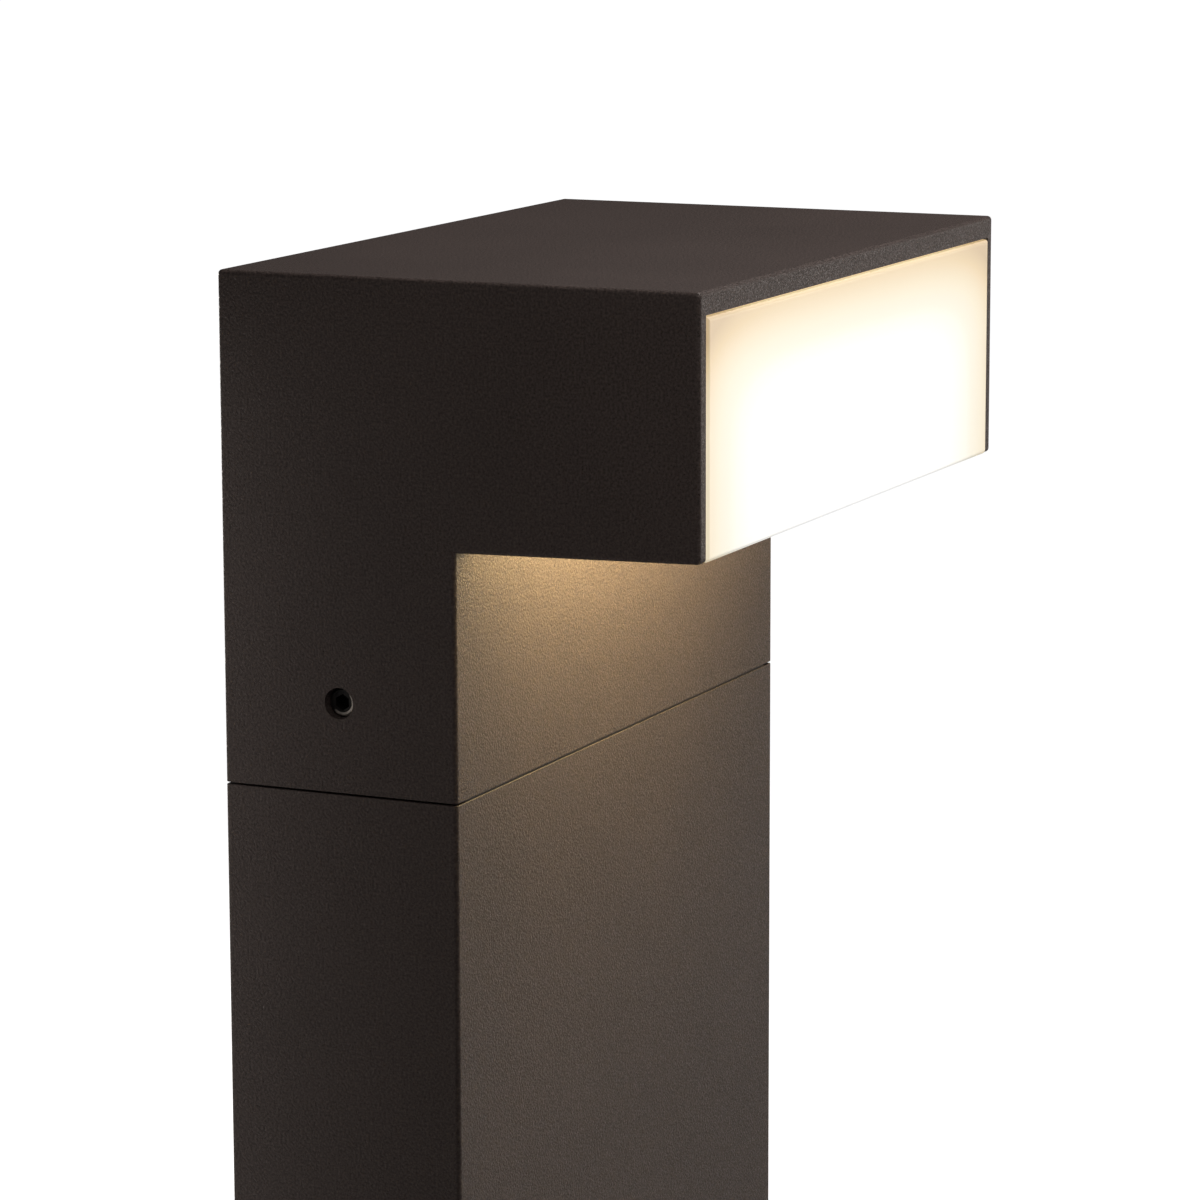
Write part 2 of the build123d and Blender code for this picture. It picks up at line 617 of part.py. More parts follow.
with BuildPart() as terminal_clamp_screws:
    top = level(FLOOR + TERMINAL_HEIGHT - CLAMP_RECESS)
    with BuildSketch(top):
        with Locations((TERMINAL_MIDDLE, 0)):
            with GridLocations(2 * CLAMP_X, POLE_PITCH, 2, 3):
                Circle(CLAMP_RADIUS)
    extrude(amount=-CLAMP_LENGTH)
    with BuildSketch(top):
        with Locations((TERMINAL_MIDDLE, 0)):
            with GridLocations(2 * CLAMP_X, POLE_PITCH, 2, 3):
                Rectangle(2 * CLAMP_RADIUS + SINK, CLAMP_SLOT)
    extrude(amount=-CLAMP_SLOT_DEPTH, mode=Mode.SUBTRACT)
terminal_clamp_screws.part.label = "terminal_clamp_screws"
export_step(terminal_clamp_screws.part, "parts/terminal_clamp_screws.step")

terminal_fixing_screws = make_screws(
    [Plane(origin=(x, y, FLOOR + TERMINAL_HEIGHT - FIXING_SINK)) for x, y in TERMINAL_FIXINGS],
    SMALL_RADIUS,
    TERMINAL_HEIGHT - FIXING_SINK + FIXING_IN_FLOOR - SINK,
    FIXING_HEAD_RADIUS,
    FIXING_HEAD,
    SMALL_DRIVE_RADIUS,
    SMALL_DRIVE_DEPTH,
)
terminal_fixing_screws.part.label = "terminal_fixing_screws"
export_step(terminal_fixing_screws.part, "parts/terminal_fixing_screws.step")

# ==== Socket side of the plug connection ====
with BuildPart() as socket_bracket:
    with BuildSketch(level(BRACKET_Z)):
        with Locations(((BRACKET_X0 + BRACKET_X1) / 2, 0)):
            RectangleRounded(BRACKET_X1 - BRACKET_X0, BRACKET_DEPTH, SPIGOT_RADIUS)
        with Locations((PLUG_X, 0)):
            Rectangle(SOCKET_WIDTH + 2 * CUTOUT_GAP, SOCKET_DEPTH + 2 * CUTOUT_GAP, mode=Mode.SUBTRACT)
        with Locations((PILLAR_X, PILLAR_Y), (PILLAR_X, -PILLAR_Y)):
            Circle(SMALL_HOLE_RADIUS, mode=Mode.SUBTRACT)
    extrude(amount=BRACKET_SHEET)
socket_bracket.part.label = "socket_bracket"
export_step(socket_bracket.part, "parts/socket_bracket.step")

bracket_screws = make_screws(
    [Plane(origin=(PILLAR_X, y, BRACKET_TOP)) for y in (-PILLAR_Y, PILLAR_Y)],
    SMALL_RADIUS,
    SMALL_LENGTH,
    SMALL_HEAD_RADIUS,
    SMALL_HEAD,
    SMALL_DRIVE_RADIUS,
    SMALL_DRIVE_DEPTH,
)
bracket_screws.part.label = "bracket_screws"
export_step(bracket_screws.part, "parts/bracket_screws.step")

with BuildPart() as supply_socket:
    with BuildSketch(level(SOCKET_BOTTOM)):
        with Locations((PLUG_X, 0)):
            Rectangle(SOCKET_WIDTH, SOCKET_DEPTH)
    extrude(amount=SOCKET_HEIGHT)
    chamfer(supply_socket.faces().sort_by(Axis.Z)[-1].edges(), length=SOCKET_CHAMFER)
    with BuildSketch(level(BRACKET_TOP)):
        with Locations((PLUG_X, 0)):
            Rectangle(SOCKET_FLANGE_WIDTH, SOCKET_FLANGE_DEPTH)
    extrude(amount=SOCKET_FLANGE)
    with Locations(*[(PLUG_X, y, SOCKET_TOP) for y in CONTACTS]):
        Hole(radius=CONTACT_HOLE_RADIUS, depth=CONTACT_HOLE_DEPTH)
supply_socket.part.label = "supply_socket"
export_step(supply_socket.part, "parts/supply_socket.step")

# ==== Leads of the post ====
for pole_y, contact_y, lead_name in zip(POLES, CONTACTS, MAINS_NAMES):
    lower_lead = make_lead(
        [
            (TERMINAL_X1 - IN_MOUTH, pole_y, WIRE_Z),
            (PLUG_X, contact_y, WIRE_Z),
            (PLUG_X, contact_y, SOCKET_BOTTOM),
        ],
        [MAINS_BEND],
        MAINS_LEAD_RADIUS,
    )
    lower_lead.part.label = f"lead_{lead_name}_lower"
    export_step(lower_lead.part, f"parts/lead_{lead_name}_lower.step")

BOND_FACE_Y = SPIGOT_INNER_Y - BOND_BOSS
bonding_lug = make_lug(BOND_X, BOND_FACE_Y, BOND_Z, -1)
bonding_lug.part.label = "bonding_lug"
export_step(bonding_lug.part, "parts/bonding_lug.step")

BOND_BARREL_Y = BOND_FACE_Y - LUG_BARREL_RADIUS
BOND_BARREL_Z = BOND_Z - LUG_REACH
bonding_lead = make_lead(
    [
        (TERMINAL_X0 + IN_MOUTH, POLES[2], WIRE_Z),
        (BOND_X, POLES[2], WIRE_Z),
        (BOND_X, BOND_BARREL_Y, WIRE_Z + BOND_RISE),
        (BOND_X, BOND_BARREL_Y, BOND_BARREL_Z),
    ],
    [TIGHT_BEND, TIGHT_BEND],
    MAINS_LEAD_RADIUS,
)
bonding_lead.part.label = "bonding_lead"
export_step(bonding_lead.part, "parts/bonding_lead.step")

bonding_screw = make_screws(
    [Plane(origin=(BOND_X, BOND_FACE_Y - LUG_SHEET, BOND_Z), z_dir=(0, -1, 0))],
    EARTH_SCREW_RADIUS,
    EARTH_SCREW_LENGTH,
    SMALL_HEAD_RADIUS,
    SMALL_HEAD,
    SMALL_DRIVE_RADIUS,
    SMALL_DRIVE_DEPTH,
)
bonding_screw.part.label = "bonding_screw"
export_step(bonding_screw.part, "parts/bonding_screw.step")

# ==== Head ====
with BuildPart() as head_housing:
    with BuildSketch(Plane.YZ):
        with BuildLine():
            Polyline(
                (HALF_DEPTH, HEAD_BOTTOM),
                (HALF_DEPTH, TOTAL_HEIGHT),
                (FRONT_Y, TOTAL_HEIGHT),
                (FRONT_Y, UNDER_FRONT),
                (PARTITION_Y, UNDER_REAR),
                (PARTITION_Y, HEAD_BOTTOM),
                close=True,
            )
        make_face()
    extrude(amount=HALF_WIDTH, both=True)
    inner_corner = head_housing.edges().filter_by(Axis.X).sort_by_distance((0, PARTITION_Y, UNDER_REAR))[0]
    rim_edges = head_housing.faces().sort_by(Axis.Z)[0].edges()
    sharp_edges = [inner_corner] + [edge for edge in rim_edges]
    fillet([edge for edge in head_housing.edges() if edge not in sharp_edges], EDGE_RADIUS)
    fillet(head_housing.faces().sort_by(Axis.Z)[0].outer_wire().edges(), RIM_RADIUS)
    # the column, open below
    with BuildSketch(level(HEAD_BOTTOM)):
        RectangleRounded(2 * COLUMN_INNER_X, 2 * COLUMN_INNER_Y, CAVITY_RADIUS)
    extrude(amount=CEILING - HEAD_BOTTOM, mode=Mode.SUBTRACT)
    # the window opening, and the light engine's space behind the seal's ledge
    with BuildSketch(Plane.YZ):
        with BuildLine():
            Polyline(
                (PARTITION_Y, UNDER_REAR - EDGE_RADIUS),
                (PARTITION_Y, LEDGE_Z),
                (LEDGE_FRONT_Y, LEDGE_Z),
                (LEDGE_FRONT_Y, CEILING),
                (FRONT_Y - EDGE_RADIUS, CEILING),
                (FRONT_Y - EDGE_RADIUS, UNDER_REAR - EDGE_RADIUS),
                close=True,
            )
        make_face()
    extrude(amount=HALF_WIDTH - SIDE_WALL, both=True, mode=Mode.SUBTRACT)
    with BuildSketch(Plane.YZ):
        with BuildLine():
            Polyline(
                (PARTITION_Y - SEAL_WIDTH, LEDGE_Z),
                (PARTITION_Y - SEAL_WIDTH, LEDGE_Z + LEDGE_HEIGHT),
                (PARTITION_Y, LEDGE_Z + LEDGE_HEIGHT),
                (PARTITION_Y, PAD_Z),
                (LEDGE_FRONT_Y, PAD_Z),
                (LEDGE_FRONT_Y, LEDGE_Z),
                close=True,
            )
        make_face()
    extrude(amount=LEDGE_HALF_WIDTH, both=True, mode=Mode.SUBTRACT)
    # bosses for the gear tray, joined to the end walls
    with BuildSketch(level(TRAY_TOP)):
        for side in (-1, 1):
            with Locations((side * TRAY_BOSS_X, 0)):
                Circle(TRAY_BOSS_RADIUS)
            with Locations((side * (TRAY_BOSS_X + COLUMN_INNER_X) / 2, 0)):
                Rectangle(COLUMN_INNER_X - TRAY_BOSS_X + 2 * SINK, TRAY_BOSS_RADIUS)
    extrude(amount=CEILING - TRAY_TOP + SINK)
    with Locations(facing_down(-TRAY_BOSS_X, 0, TRAY_TOP), facing_down(TRAY_BOSS_X, 0, TRAY_TOP)):
        Hole(radius=SMALL_HOLE_RADIUS, depth=TRAY_BLIND_HOLE)
    # threaded bosses and mouths for the clamping screws
    for side in (-1, 1):
        with BuildSketch(Plane(origin=(side * GRUB_BOSS_X, 0, GRUB_Z), z_dir=(side, 0, 0))):
            Circle(GRUB_BOSS_RADIUS)
        extrude(amount=COLUMN_INNER_X - GRUB_BOSS_X + SINK)
        with Locations(Plane(origin=(side * HALF_WIDTH, 0, GRUB_Z), z_dir=(side, 0, 0))):
            CounterBoreHole(
                GRUB_HOLE_RADIUS, GRUB_MOUTH_RADIUS, GRUB_MOUTH_DEPTH, HALF_WIDTH - GRUB_BOSS_X + SINK
            )
    # earth boss on the rear wall
    earth_face = Plane(origin=(PLUG_X, COLUMN_INNER_Y - EARTH_BOSS, HEAD_EARTH_Z), z_dir=(0, -1, 0))
    with BuildSketch(earth_face):
        Circle(EARTH_BOSS_RADIUS)
    extrude(amount=-EARTH_BOSS - SINK)
    with Locations(earth_face):
        Hole(radius=EARTH_HOLE_RADIUS, depth=EARTH_HOLE_DEPTH)
    # lead hole in the partition, and blind holes for the light engine's screws
    with Locations(Plane(origin=(FEED_X, PARTITION_Y, FEED_Z), z_dir=(0, -1, 0))):
        Hole(radius=FEED_HOLE_RADIUS, depth=HEAD_WALL + SINK)
    with Locations(*[facing_down(x, y, PAD_Z) for x, y in BOARD_SCREWS]):
        Hole(radius=SMALL_HOLE_RADIUS, depth=BLIND_HOLE)
head_housing.part.label = "head_housing"
export_step(head_housing.part, "parts/head_housing.step")

# ==== Window ====
with BuildPart() as diffuser:
    with BuildSketch(Plane.YZ):
        with BuildLine():
            Polyline(
                (WINDOW_FRONT_Y, UNDER_FRONT),
                (WINDOW_FRONT_Y, WINDOW_TOP),
                (WINDOW_REAR_Y, WINDOW_TOP),
                (WINDOW_REAR_Y, UNDER_REAR),
                close=True,
            )
        make_face()
    extrude(amount=WINDOW_HALF_WIDTH, both=True)
    front_edges = diffuser.faces().sort_by(Axis.Y)[0].edges()
    under_edges = diffuser.faces().sort_by(Axis.Z)[0].edges()
    fillet(front_edges + [edge for edge in under_edges if edge not in front_edges], WINDOW_EDGE_RADIUS)
    # hollow behind the two panes
    with BuildSketch(Plane.YZ):
        with BuildLine():
            Polyline(
                (WINDOW_FRONT_Y + WINDOW_WALL, UNDER_FRONT + WINDOW_WALL),
                (WINDOW_FRONT_Y + WINDOW_WALL, CEILING),
                (PARTITION_Y, CEILING),
                (PARTITION_Y, UNDER_REAR + WINDOW_WALL),
                close=True,
            )
        make_face()
    extrude(amount=WINDOW_HALF_WIDTH - WINDOW_SIDE, both=True, mode=Mode.SUBTRACT)
    # the side walls stop at the seal
    with BuildSketch(Plane.YZ):
        with BuildLine():
            Polyline(
                (SEAL_FRONT_Y, SEAL_Z),
                (SEAL_FRONT_Y, CEILING),
                (PARTITION_Y, CEILING),
                (PARTITION_Y, SEAL_Z),
                close=True,
            )
        make_face()
    extrude(amount=HALF_WIDTH, both=True, mode=Mode.SUBTRACT)
    # rims along the top and the rear
    with BuildSketch(Plane.YZ):
        with BuildLine():
            Polyline(
                (WINDOW_FRONT_Y + WINDOW_SIDE, WINDOW_TOP - WINDOW_REAR_RIM),
                (WINDOW_FRONT_Y + WINDOW_SIDE, WINDOW_TOP),
                (SEAL_FRONT_Y, WINDOW_TOP),
                (SEAL_FRONT_Y, WINDOW_TOP - WINDOW_REAR_RIM),
                close=True,
            )
        make_face()
        with BuildLine():
            Polyline(
                (WINDOW_REAR_Y - WINDOW_REAR_RIM, UNDER_REAR + WINDOW_SIDE),
                (WINDOW_REAR_Y - WINDOW_REAR_RIM, SEAL_Z),
                (WINDOW_REAR_Y, SEAL_Z),
                (WINDOW_REAR_Y, UNDER_REAR + WINDOW_SIDE),
                close=True,
            )
        make_face()
    extrude(amount=WINDOW_HALF_WIDTH - WINDOW_SIDE / 2, both=True)
diffuser.part.label = "diffuser"
export_step(diffuser.part, "parts/diffuser.step")

with BuildPart() as diffuser_seal:
    with BuildSketch(Plane.YZ):
        with BuildLine():
            Polyline(
                (SEAL_FRONT_Y, SEAL_Z),
                (SEAL_FRONT_Y, WINDOW_TOP),
                (LEDGE_FRONT_Y, WINDOW_TOP),
                (LEDGE_FRONT_Y, LEDGE_Z),
                (WINDOW_REAR_Y, LEDGE_Z),
                (WINDOW_REAR_Y, SEAL_Z),
                close=True,
            )
        make_face()
    extrude(amount=WINDOW_HALF_WIDTH, both=True)
    with BuildSketch(Plane.YZ):
        with BuildLine():
            Polyline(
                (SEAL_FRONT_Y - SINK, SEAL_Z - SINK),
                (SEAL_FRONT_Y - SINK, WINDOW_TOP - SEAL_WIDTH),
                (LEDGE_FRONT_Y + SINK, WINDOW_TOP - SEAL_WIDTH),
                (LEDGE_FRONT_Y + SINK, LEDGE_Z + SINK),
                (WINDOW_REAR_Y - SEAL_WIDTH, LEDGE_Z + SINK),
                (WINDOW_REAR_Y - SEAL_WIDTH, SEAL_Z - SINK),
                close=True,
            )
        make_face()
    extrude(amount=WINDOW_HALF_WIDTH - SEAL_WIDTH, both=True, mode=Mode.SUBTRACT)
diffuser_seal.part.label = "diffuser_seal"
export_step(diffuser_seal.part, "parts/diffuser_seal.step")

# ==== Light engine ====
with BuildPart() as thermal_pad:
    with BuildSketch(level(LED_BOARD_TOP)):
        with Locations((0, LED_BOARD_Y)):
            Rectangle(LED_BOARD_WIDTH - REFLECTOR_MARGIN, LED_BOARD_DEPTH - REFLECTOR_MARGIN)
        with Locations(*BOARD_SCREWS):
            Circle(SMALL_HOLE_RADIUS, mode=Mode.SUBTRACT)
    extrude(amount=THERMAL_PAD)
thermal_pad.part.label = "thermal_pad"
export_step(thermal_pad.part, "parts/thermal_pad.step")

with BuildPart() as led_board:
    with BuildSketch(level(LED_BOARD_BOTTOM)):
        with Locations((0, LED_BOARD_Y)):
            RectangleRounded(LED_BOARD_WIDTH, LED_BOARD_DEPTH, POST_INNER_RADIUS)
        with Locations(*BOARD_SCREWS):
            Circle(SMALL_HOLE_RADIUS, mode=Mode.SUBTRACT)
    extrude(amount=BOARD_SHEET)
led_board.part.label = "led_board"
export_step(led_board.part, "parts/led_board.step")

with BuildPart() as leds:
    with BuildSketch(level(LED_BOARD_BOTTOM)):
        with Locations((0, LED_BOARD_Y)):
            with GridLocations(LED_PITCH_X, LED_PITCH_Y, LED_COUNT_X, 2):
                Rectangle(LED_SIZE, LED_SIZE)
    extrude(amount=-LED_HEIGHT)
    with BuildSketch(level(LED_BOARD_BOTTOM - LED_HEIGHT)):
        with Locations((0, LED_BOARD_Y)):
            with GridLocations(LED_PITCH_X, LED_PITCH_Y, LED_COUNT_X, 2):
                Circle(LED_DOME_RADIUS)
    extrude(amount=-LED_DOME)
leds.part.label = "leds"
export_step(leds.part, "parts/leds.step")

CONNECTOR_REAR_Y = LED_BOARD_Y + LED_BOARD_DEPTH / 2 - CONNECTOR_SETBACK
REFLECTOR_WIDTH = LED_BOARD_WIDTH + 2 * REFLECTOR_MARGIN
REFLECTOR_REAR_Y = LED_BOARD_Y + LED_BOARD_DEPTH / 2 + REFLECTOR_MARGIN
REFLECTOR_FRONT_Y = LED_BOARD_Y - LED_BOARD_DEPTH / 2
REFLECTOR_MIDDLE_Y = (REFLECTOR_FRONT_Y + REFLECTOR_REAR_Y) / 2
with BuildPart() as reflector:
    with BuildSketch(level(LED_BOARD_BOTTOM)):
        with Locations((0, REFLECTOR_MIDDLE_Y)):
            Rectangle(REFLECTOR_WIDTH, REFLECTOR_REAR_Y - REFLECTOR_FRONT_Y)
    extrude(amount=-REFLECTOR_SHEET - REFLECTOR_SKIRT)
    with BuildSketch(level(REFLECTOR_Z)):
        with Locations((0, REFLECTOR_MIDDLE_Y - REFLECTOR_SHEET)):
            Rectangle(REFLECTOR_WIDTH - 2 * REFLECTOR_SHEET, REFLECTOR_REAR_Y - REFLECTOR_FRONT_Y)
    extrude(amount=-REFLECTOR_SKIRT, mode=Mode.SUBTRACT)
    with BuildSketch(level(LED_BOARD_BOTTOM)):
        with Locations((0, LED_BOARD_Y)):
            with GridLocations(LED_PITCH_X, LED_PITCH_Y, LED_COUNT_X, 2):
                Circle(LED_WINDOW_RADIUS)
        with Locations(*BOARD_SCREWS):
            Circle(SMALL_HOLE_RADIUS)
    extrude(amount=-REFLECTOR_SHEET, mode=Mode.SUBTRACT)
    with BuildSketch(level(LED_BOARD_BOTTOM)):
        with Locations((FEED_X, REFLECTOR_REAR_Y - REFLECTOR_NOTCH_DEPTH / 2)):
            Rectangle(REFLECTOR_NOTCH, REFLECTOR_NOTCH_DEPTH)
    extrude(amount=-REFLECTOR_NOTCH_HEIGHT, mode=Mode.SUBTRACT)
reflector.part.label = "reflector"
export_step(reflector.part, "parts/reflector.step")

board_screws = make_screws(
    [facing_down(x, y, REFLECTOR_Z) for x, y in BOARD_SCREWS],
    SMALL_RADIUS,
    SMALL_LENGTH,
    SMALL_HEAD_RADIUS,
    SMALL_HEAD,
    SMALL_DRIVE_RADIUS,
    SMALL_DRIVE_DEPTH,
)
board_screws.part.label = "board_screws"
export_step(board_screws.part, "parts/board_screws.step")

with BuildPart() as board_connector:
    with BuildSketch(level(LED_BOARD_BOTTOM)):
        with Locations((FEED_X, CONNECTOR_REAR_Y - CONNECTOR_DEPTH / 2)):
            Rectangle(CONNECTOR_WIDTH, CONNECTOR_DEPTH)
    extrude(amount=-CONNECTOR_HEIGHT)
    chamfer(board_connector.faces().sort_by(Axis.Z)[0].edges(), length=CONNECTOR_CHAMFER)
board_connector.part.label = "board_connector"
export_step(board_connector.part, "parts/board_connector.step")

with BuildPart() as lead_grommet:
    rear_face = Plane(origin=(FEED_X, -COLUMN_INNER_Y + FEED_FLANGE, FEED_Z), z_dir=(0, -1, 0))
    for start, length, radius in (
        (0, FEED_FLANGE, FEED_FLANGE_RADIUS),
        (FEED_FLANGE, HEAD_WALL, FEED_HOLE_RADIUS),
        (FEED_FLANGE + HEAD_WALL, FEED_FLANGE, FEED_FLANGE_RADIUS),
    ):
        with BuildSketch(rear_face.offset(start)):
            Circle(radius)
            Circle(FEED_BORE_RADIUS, mode=Mode.SUBTRACT)
        extrude(amount=length)
lead_grommet.part.label = "lead_grommet"
export_step(lead_grommet.part, "parts/lead_grommet.step")

# ==== Gear tray and driver ====
with BuildPart() as gear_tray:
    with BuildSketch(level(TRAY_Z)):
        RectangleRounded(TRAY_WIDTH, TRAY_DEPTH, SPIGOT_RADIUS)
        with Locations((-TRAY_BOSS_X, 0), (TRAY_BOSS_X, 0)):
            Circle(TRAY_HOLE_RADIUS, mode=Mode.SUBTRACT)
        with Locations((PLUG_X, 0)):
            Rectangle(SOCKET_WIDTH + 2 * CUTOUT_GAP, SOCKET_DEPTH + 2 * CUTOUT_GAP, mode=Mode.SUBTRACT)
        with Locations(*DRIVER_SCREWS):
            Circle(SMALL_HOLE_RADIUS, mode=Mode.SUBTRACT)
    extrude(amount=TRAY_SHEET)
gear_tray.part.label = "gear_tray"
export_step(gear_tray.part, "parts/gear_tray.step")

tray_screws = make_screws(
    [facing_down(x, 0, TRAY_Z) for x in (-TRAY_BOSS_X, TRAY_BOSS_X)],
    SMALL_RADIUS,
    SMALL_LENGTH,
    SMALL_HEAD_RADIUS,
    SMALL_HEAD,
    SMALL_DRIVE_RADIUS,
    SMALL_DRIVE_DEPTH,
)
tray_screws.part.label = "tray_screws"
export_step(tray_screws.part, "parts/tray_screws.step")

with BuildPart() as driver_case:
    with BuildSketch(level(TRAY_TOP)):
        with Locations((DRIVER_MIDDLE, DRIVER_Y)):
            RectangleRounded(DRIVER_WIDTH, DRIVER_DEPTH, DRIVER_RADIUS)
    extrude(amount=DRIVER_HEIGHT - DRIVER_WALL)
    with BuildSketch(level(TRAY_TOP + DRIVER_WALL)):
        with Locations((DRIVER_MIDDLE, DRIVER_Y)):
            Rectangle(DRIVER_WIDTH - 2 * DRIVER_WALL, DRIVER_DEPTH - 2 * DRIVER_WALL)
    extrude(amount=DRIVER_HEIGHT, mode=Mode.SUBTRACT)
    with BuildSketch(level(TRAY_TOP)):
        for ear_x, ear_y in DRIVER_SCREWS:
            with Locations((ear_x, ear_y)):
                Rectangle(DRIVER_EAR, DRIVER_EAR_DEPTH)
                Circle(SMALL_HOLE_RADIUS, mode=Mode.SUBTRACT)
    extrude(amount=DRIVER_EAR_HEIGHT)
driver_case.part.label = "driver_case"
export_step(driver_case.part, "parts/driver_case.step")

with BuildPart() as driver_cover:
    with BuildSketch(level(DRIVER_TOP - DRIVER_WALL)):
        with Locations((DRIVER_MIDDLE, DRIVER_Y)):
            RectangleRounded(DRIVER_WIDTH, DRIVER_DEPTH, DRIVER_RADIUS)
    extrude(amount=DRIVER_WALL)
    chamfer(driver_cover.faces().sort_by(Axis.Z)[-1].edges(), length=CONNECTOR_CHAMFER)
    inner_width = DRIVER_WIDTH - 2 * DRIVER_WALL - 2 * BOARD_GAP
    inner_depth = DRIVER_DEPTH - 2 * DRIVER_WALL - 2 * BOARD_GAP
    with BuildSketch(level(DRIVER_TOP - DRIVER_WALL)):
        with Locations((DRIVER_MIDDLE, DRIVER_Y)):
            Rectangle(inner_width, inner_depth)
            Rectangle(inner_width - 2 * DRIVER_WALL, inner_depth - 2 * DRIVER_WALL, mode=Mode.SUBTRACT)
    extrude(amount=-DRIVER_WALL)
driver_cover.part.label = "driver_cover"
export_step(driver_cover.part, "parts/driver_cover.step")

DRIVER_BOARD_Z = TRAY_TOP + DRIVER_WALL
with BuildPart() as driver_board:
    with BuildSketch(level(DRIVER_BOARD_Z + BOARD_LIFT)):
        with Locations((DRIVER_MIDDLE, DRIVER_Y)):
            Rectangle(inner_width, inner_depth)
    extrude(amount=BOARD_SHEET)
    with BuildSketch(level(DRIVER_BOARD_Z)):
        with Locations((DRIVER_MIDDLE, DRIVER_Y)):
            with GridLocations(inner_width - 2 * BOARD_LIFT, inner_depth - 2 * BOARD_LIFT, 2, 2):
                Circle(SMALL_RADIUS)
    extrude(amount=BOARD_LIFT)
driver_board.part.label = "driver_board"
export_step(driver_board.part, "parts/driver_board.step")

COMPONENT_Z = DRIVER_BOARD_Z + BOARD_LIFT + BOARD_SHEET
with BuildPart() as driver_components:
    with BuildSketch(level(COMPONENT_Z)):
        with Locations((DRIVER_MIDDLE, DRIVER_Y)):
            Rectangle(TRANSFORMER, TRANSFORMER)
    extrude(amount=TALL_COMPONENT)
    with BuildSketch(level(COMPONENT_Z)):
        with Locations((DRIVER_MIDDLE - TRANSFORMER, DRIVER_Y)):
            Circle(CAPACITOR_RADIUS)
    extrude(amount=CAPACITOR_HEIGHT)
    with BuildSketch(level(COMPONENT_Z)):
        with Locations((DRIVER_MIDDLE + TRANSFORMER, DRIVER_Y)):
            Rectangle(CHOKE, TRANSFORMER)
    extrude(amount=LOW_COMPONENT)
driver_components.part.label = "driver_components"
export_step(driver_components.part, "parts/driver_components.step")

driver_screws = make_screws(
    [Plane(origin=(x, y, TRAY_TOP + DRIVER_EAR_HEIGHT)) for x, y in DRIVER_SCREWS],
    SMALL_RADIUS,
    DRIVER_EAR_HEIGHT + TRAY_SHEET + SINK,
    SMALL_HEAD_RADIUS,
    SMALL_HEAD,
    SMALL_DRIVE_RADIUS,
    SMALL_DRIVE_DEPTH,
)
driver_screws.part.label = "driver_screws"
export_step(driver_screws.part, "parts/driver_screws.step")

# ==== Plug side of the connection ====
with BuildPart() as supply_plug:
    with BuildSketch(level(PLUG_BOTTOM)):
        with Locations((PLUG_X, 0)):
            Rectangle(SOCKET_WIDTH, SOCKET_DEPTH)
    extrude(amount=PLUG_TOP - PLUG_BOTTOM)
    chamfer(supply_plug.faces().sort_by(Axis.Z)[0].edges(), length=SOCKET_CHAMFER)
    with BuildSketch(level(TRAY_TOP)):
        with Locations((PLUG_X, 0)):
            Rectangle(SOCKET_FLANGE_WIDTH, SOCKET_FLANGE_DEPTH)
    extrude(amount=SOCKET_FLANGE)
    with Locations(*[facing_down(PLUG_X, y, PLUG_BOTTOM) for y in CONTACTS]):
        Hole(radius=PIN_RADIUS, depth=PIN_HELD)
supply_plug.part.label = "supply_plug"
export_step(supply_plug.part, "parts/supply_plug.step")

with BuildPart() as plug_pins:
    with BuildSketch(level(PLUG_BOTTOM + PIN_HELD)):
        with Locations(*[(PLUG_X, y) for y in CONTACTS]):
            Circle(PIN_RADIUS)
    extrude(amount=-PIN_HELD - PIN_LENGTH)
    chamfer(plug_pins.faces().group_by(Axis.Z)[0].edges(), length=PIN_CHAMFER)
plug_pins.part.label = "plug_pins"
export_step(plug_pins.part, "parts/plug_pins.step")

# ==== Leads of the head ====
for contact_y, lead_name in zip(CONTACTS[:2], MAINS_NAMES[:2]):
    upper_lead = make_lead(
        [
            (PLUG_X, contact_y, PLUG_TOP),
            (PLUG_X, contact_y, UPPER_LEAD_Z),
            (DRIVER_X1, contact_y, UPPER_LEAD_Z),
        ],
        [MAINS_BEND],
        MAINS_LEAD_RADIUS,
    )
    upper_lead.part.label = f"lead_{lead_name}_upper"
    export_step(upper_lead.part, f"parts/lead_{lead_name}_upper.step")

EARTH_FACE_Y = COLUMN_INNER_Y - EARTH_BOSS
EARTH_BARREL_Y = EARTH_FACE_Y - LUG_BARREL_RADIUS
lead_earth_upper = make_lead(
    [
        (PLUG_X, CONTACTS[2], PLUG_TOP),
        (PLUG_X, CONTACTS[2], EARTH_TURN_Z),
        (PLUG_X, EARTH_BARREL_Y, EARTH_TURN_Z + EARTH_RISE),
        (PLUG_X, EARTH_BARREL_Y, HEAD_EARTH_Z - LUG_REACH),
    ],
    [TIGHT_BEND, TIGHT_BEND],
    MAINS_LEAD_RADIUS,
)
lead_earth_upper.part.label = "lead_earth_upper"
export_step(lead_earth_upper.part, "parts/lead_earth_upper.step")

head_earth_lug = make_lug(PLUG_X, EARTH_FACE_Y, HEAD_EARTH_Z, -1)
head_earth_lug.part.label = "head_earth_lug"
export_step(head_earth_lug.part, "parts/head_earth_lug.step")

head_earth_screw = make_screws(
    [Plane(origin=(PLUG_X, EARTH_FACE_Y - LUG_SHEET, HEAD_EARTH_Z), z_dir=(0, -1, 0))],
    EARTH_SCREW_RADIUS,
    EARTH_SCREW_LENGTH,
    SMALL_HEAD_RADIUS,
    SMALL_HEAD,
    SMALL_DRIVE_RADIUS,
    SMALL_DRIVE_DEPTH,
)
head_earth_screw.part.label = "head_earth_screw"
export_step(head_earth_screw.part, "parts/head_earth_screw.step")

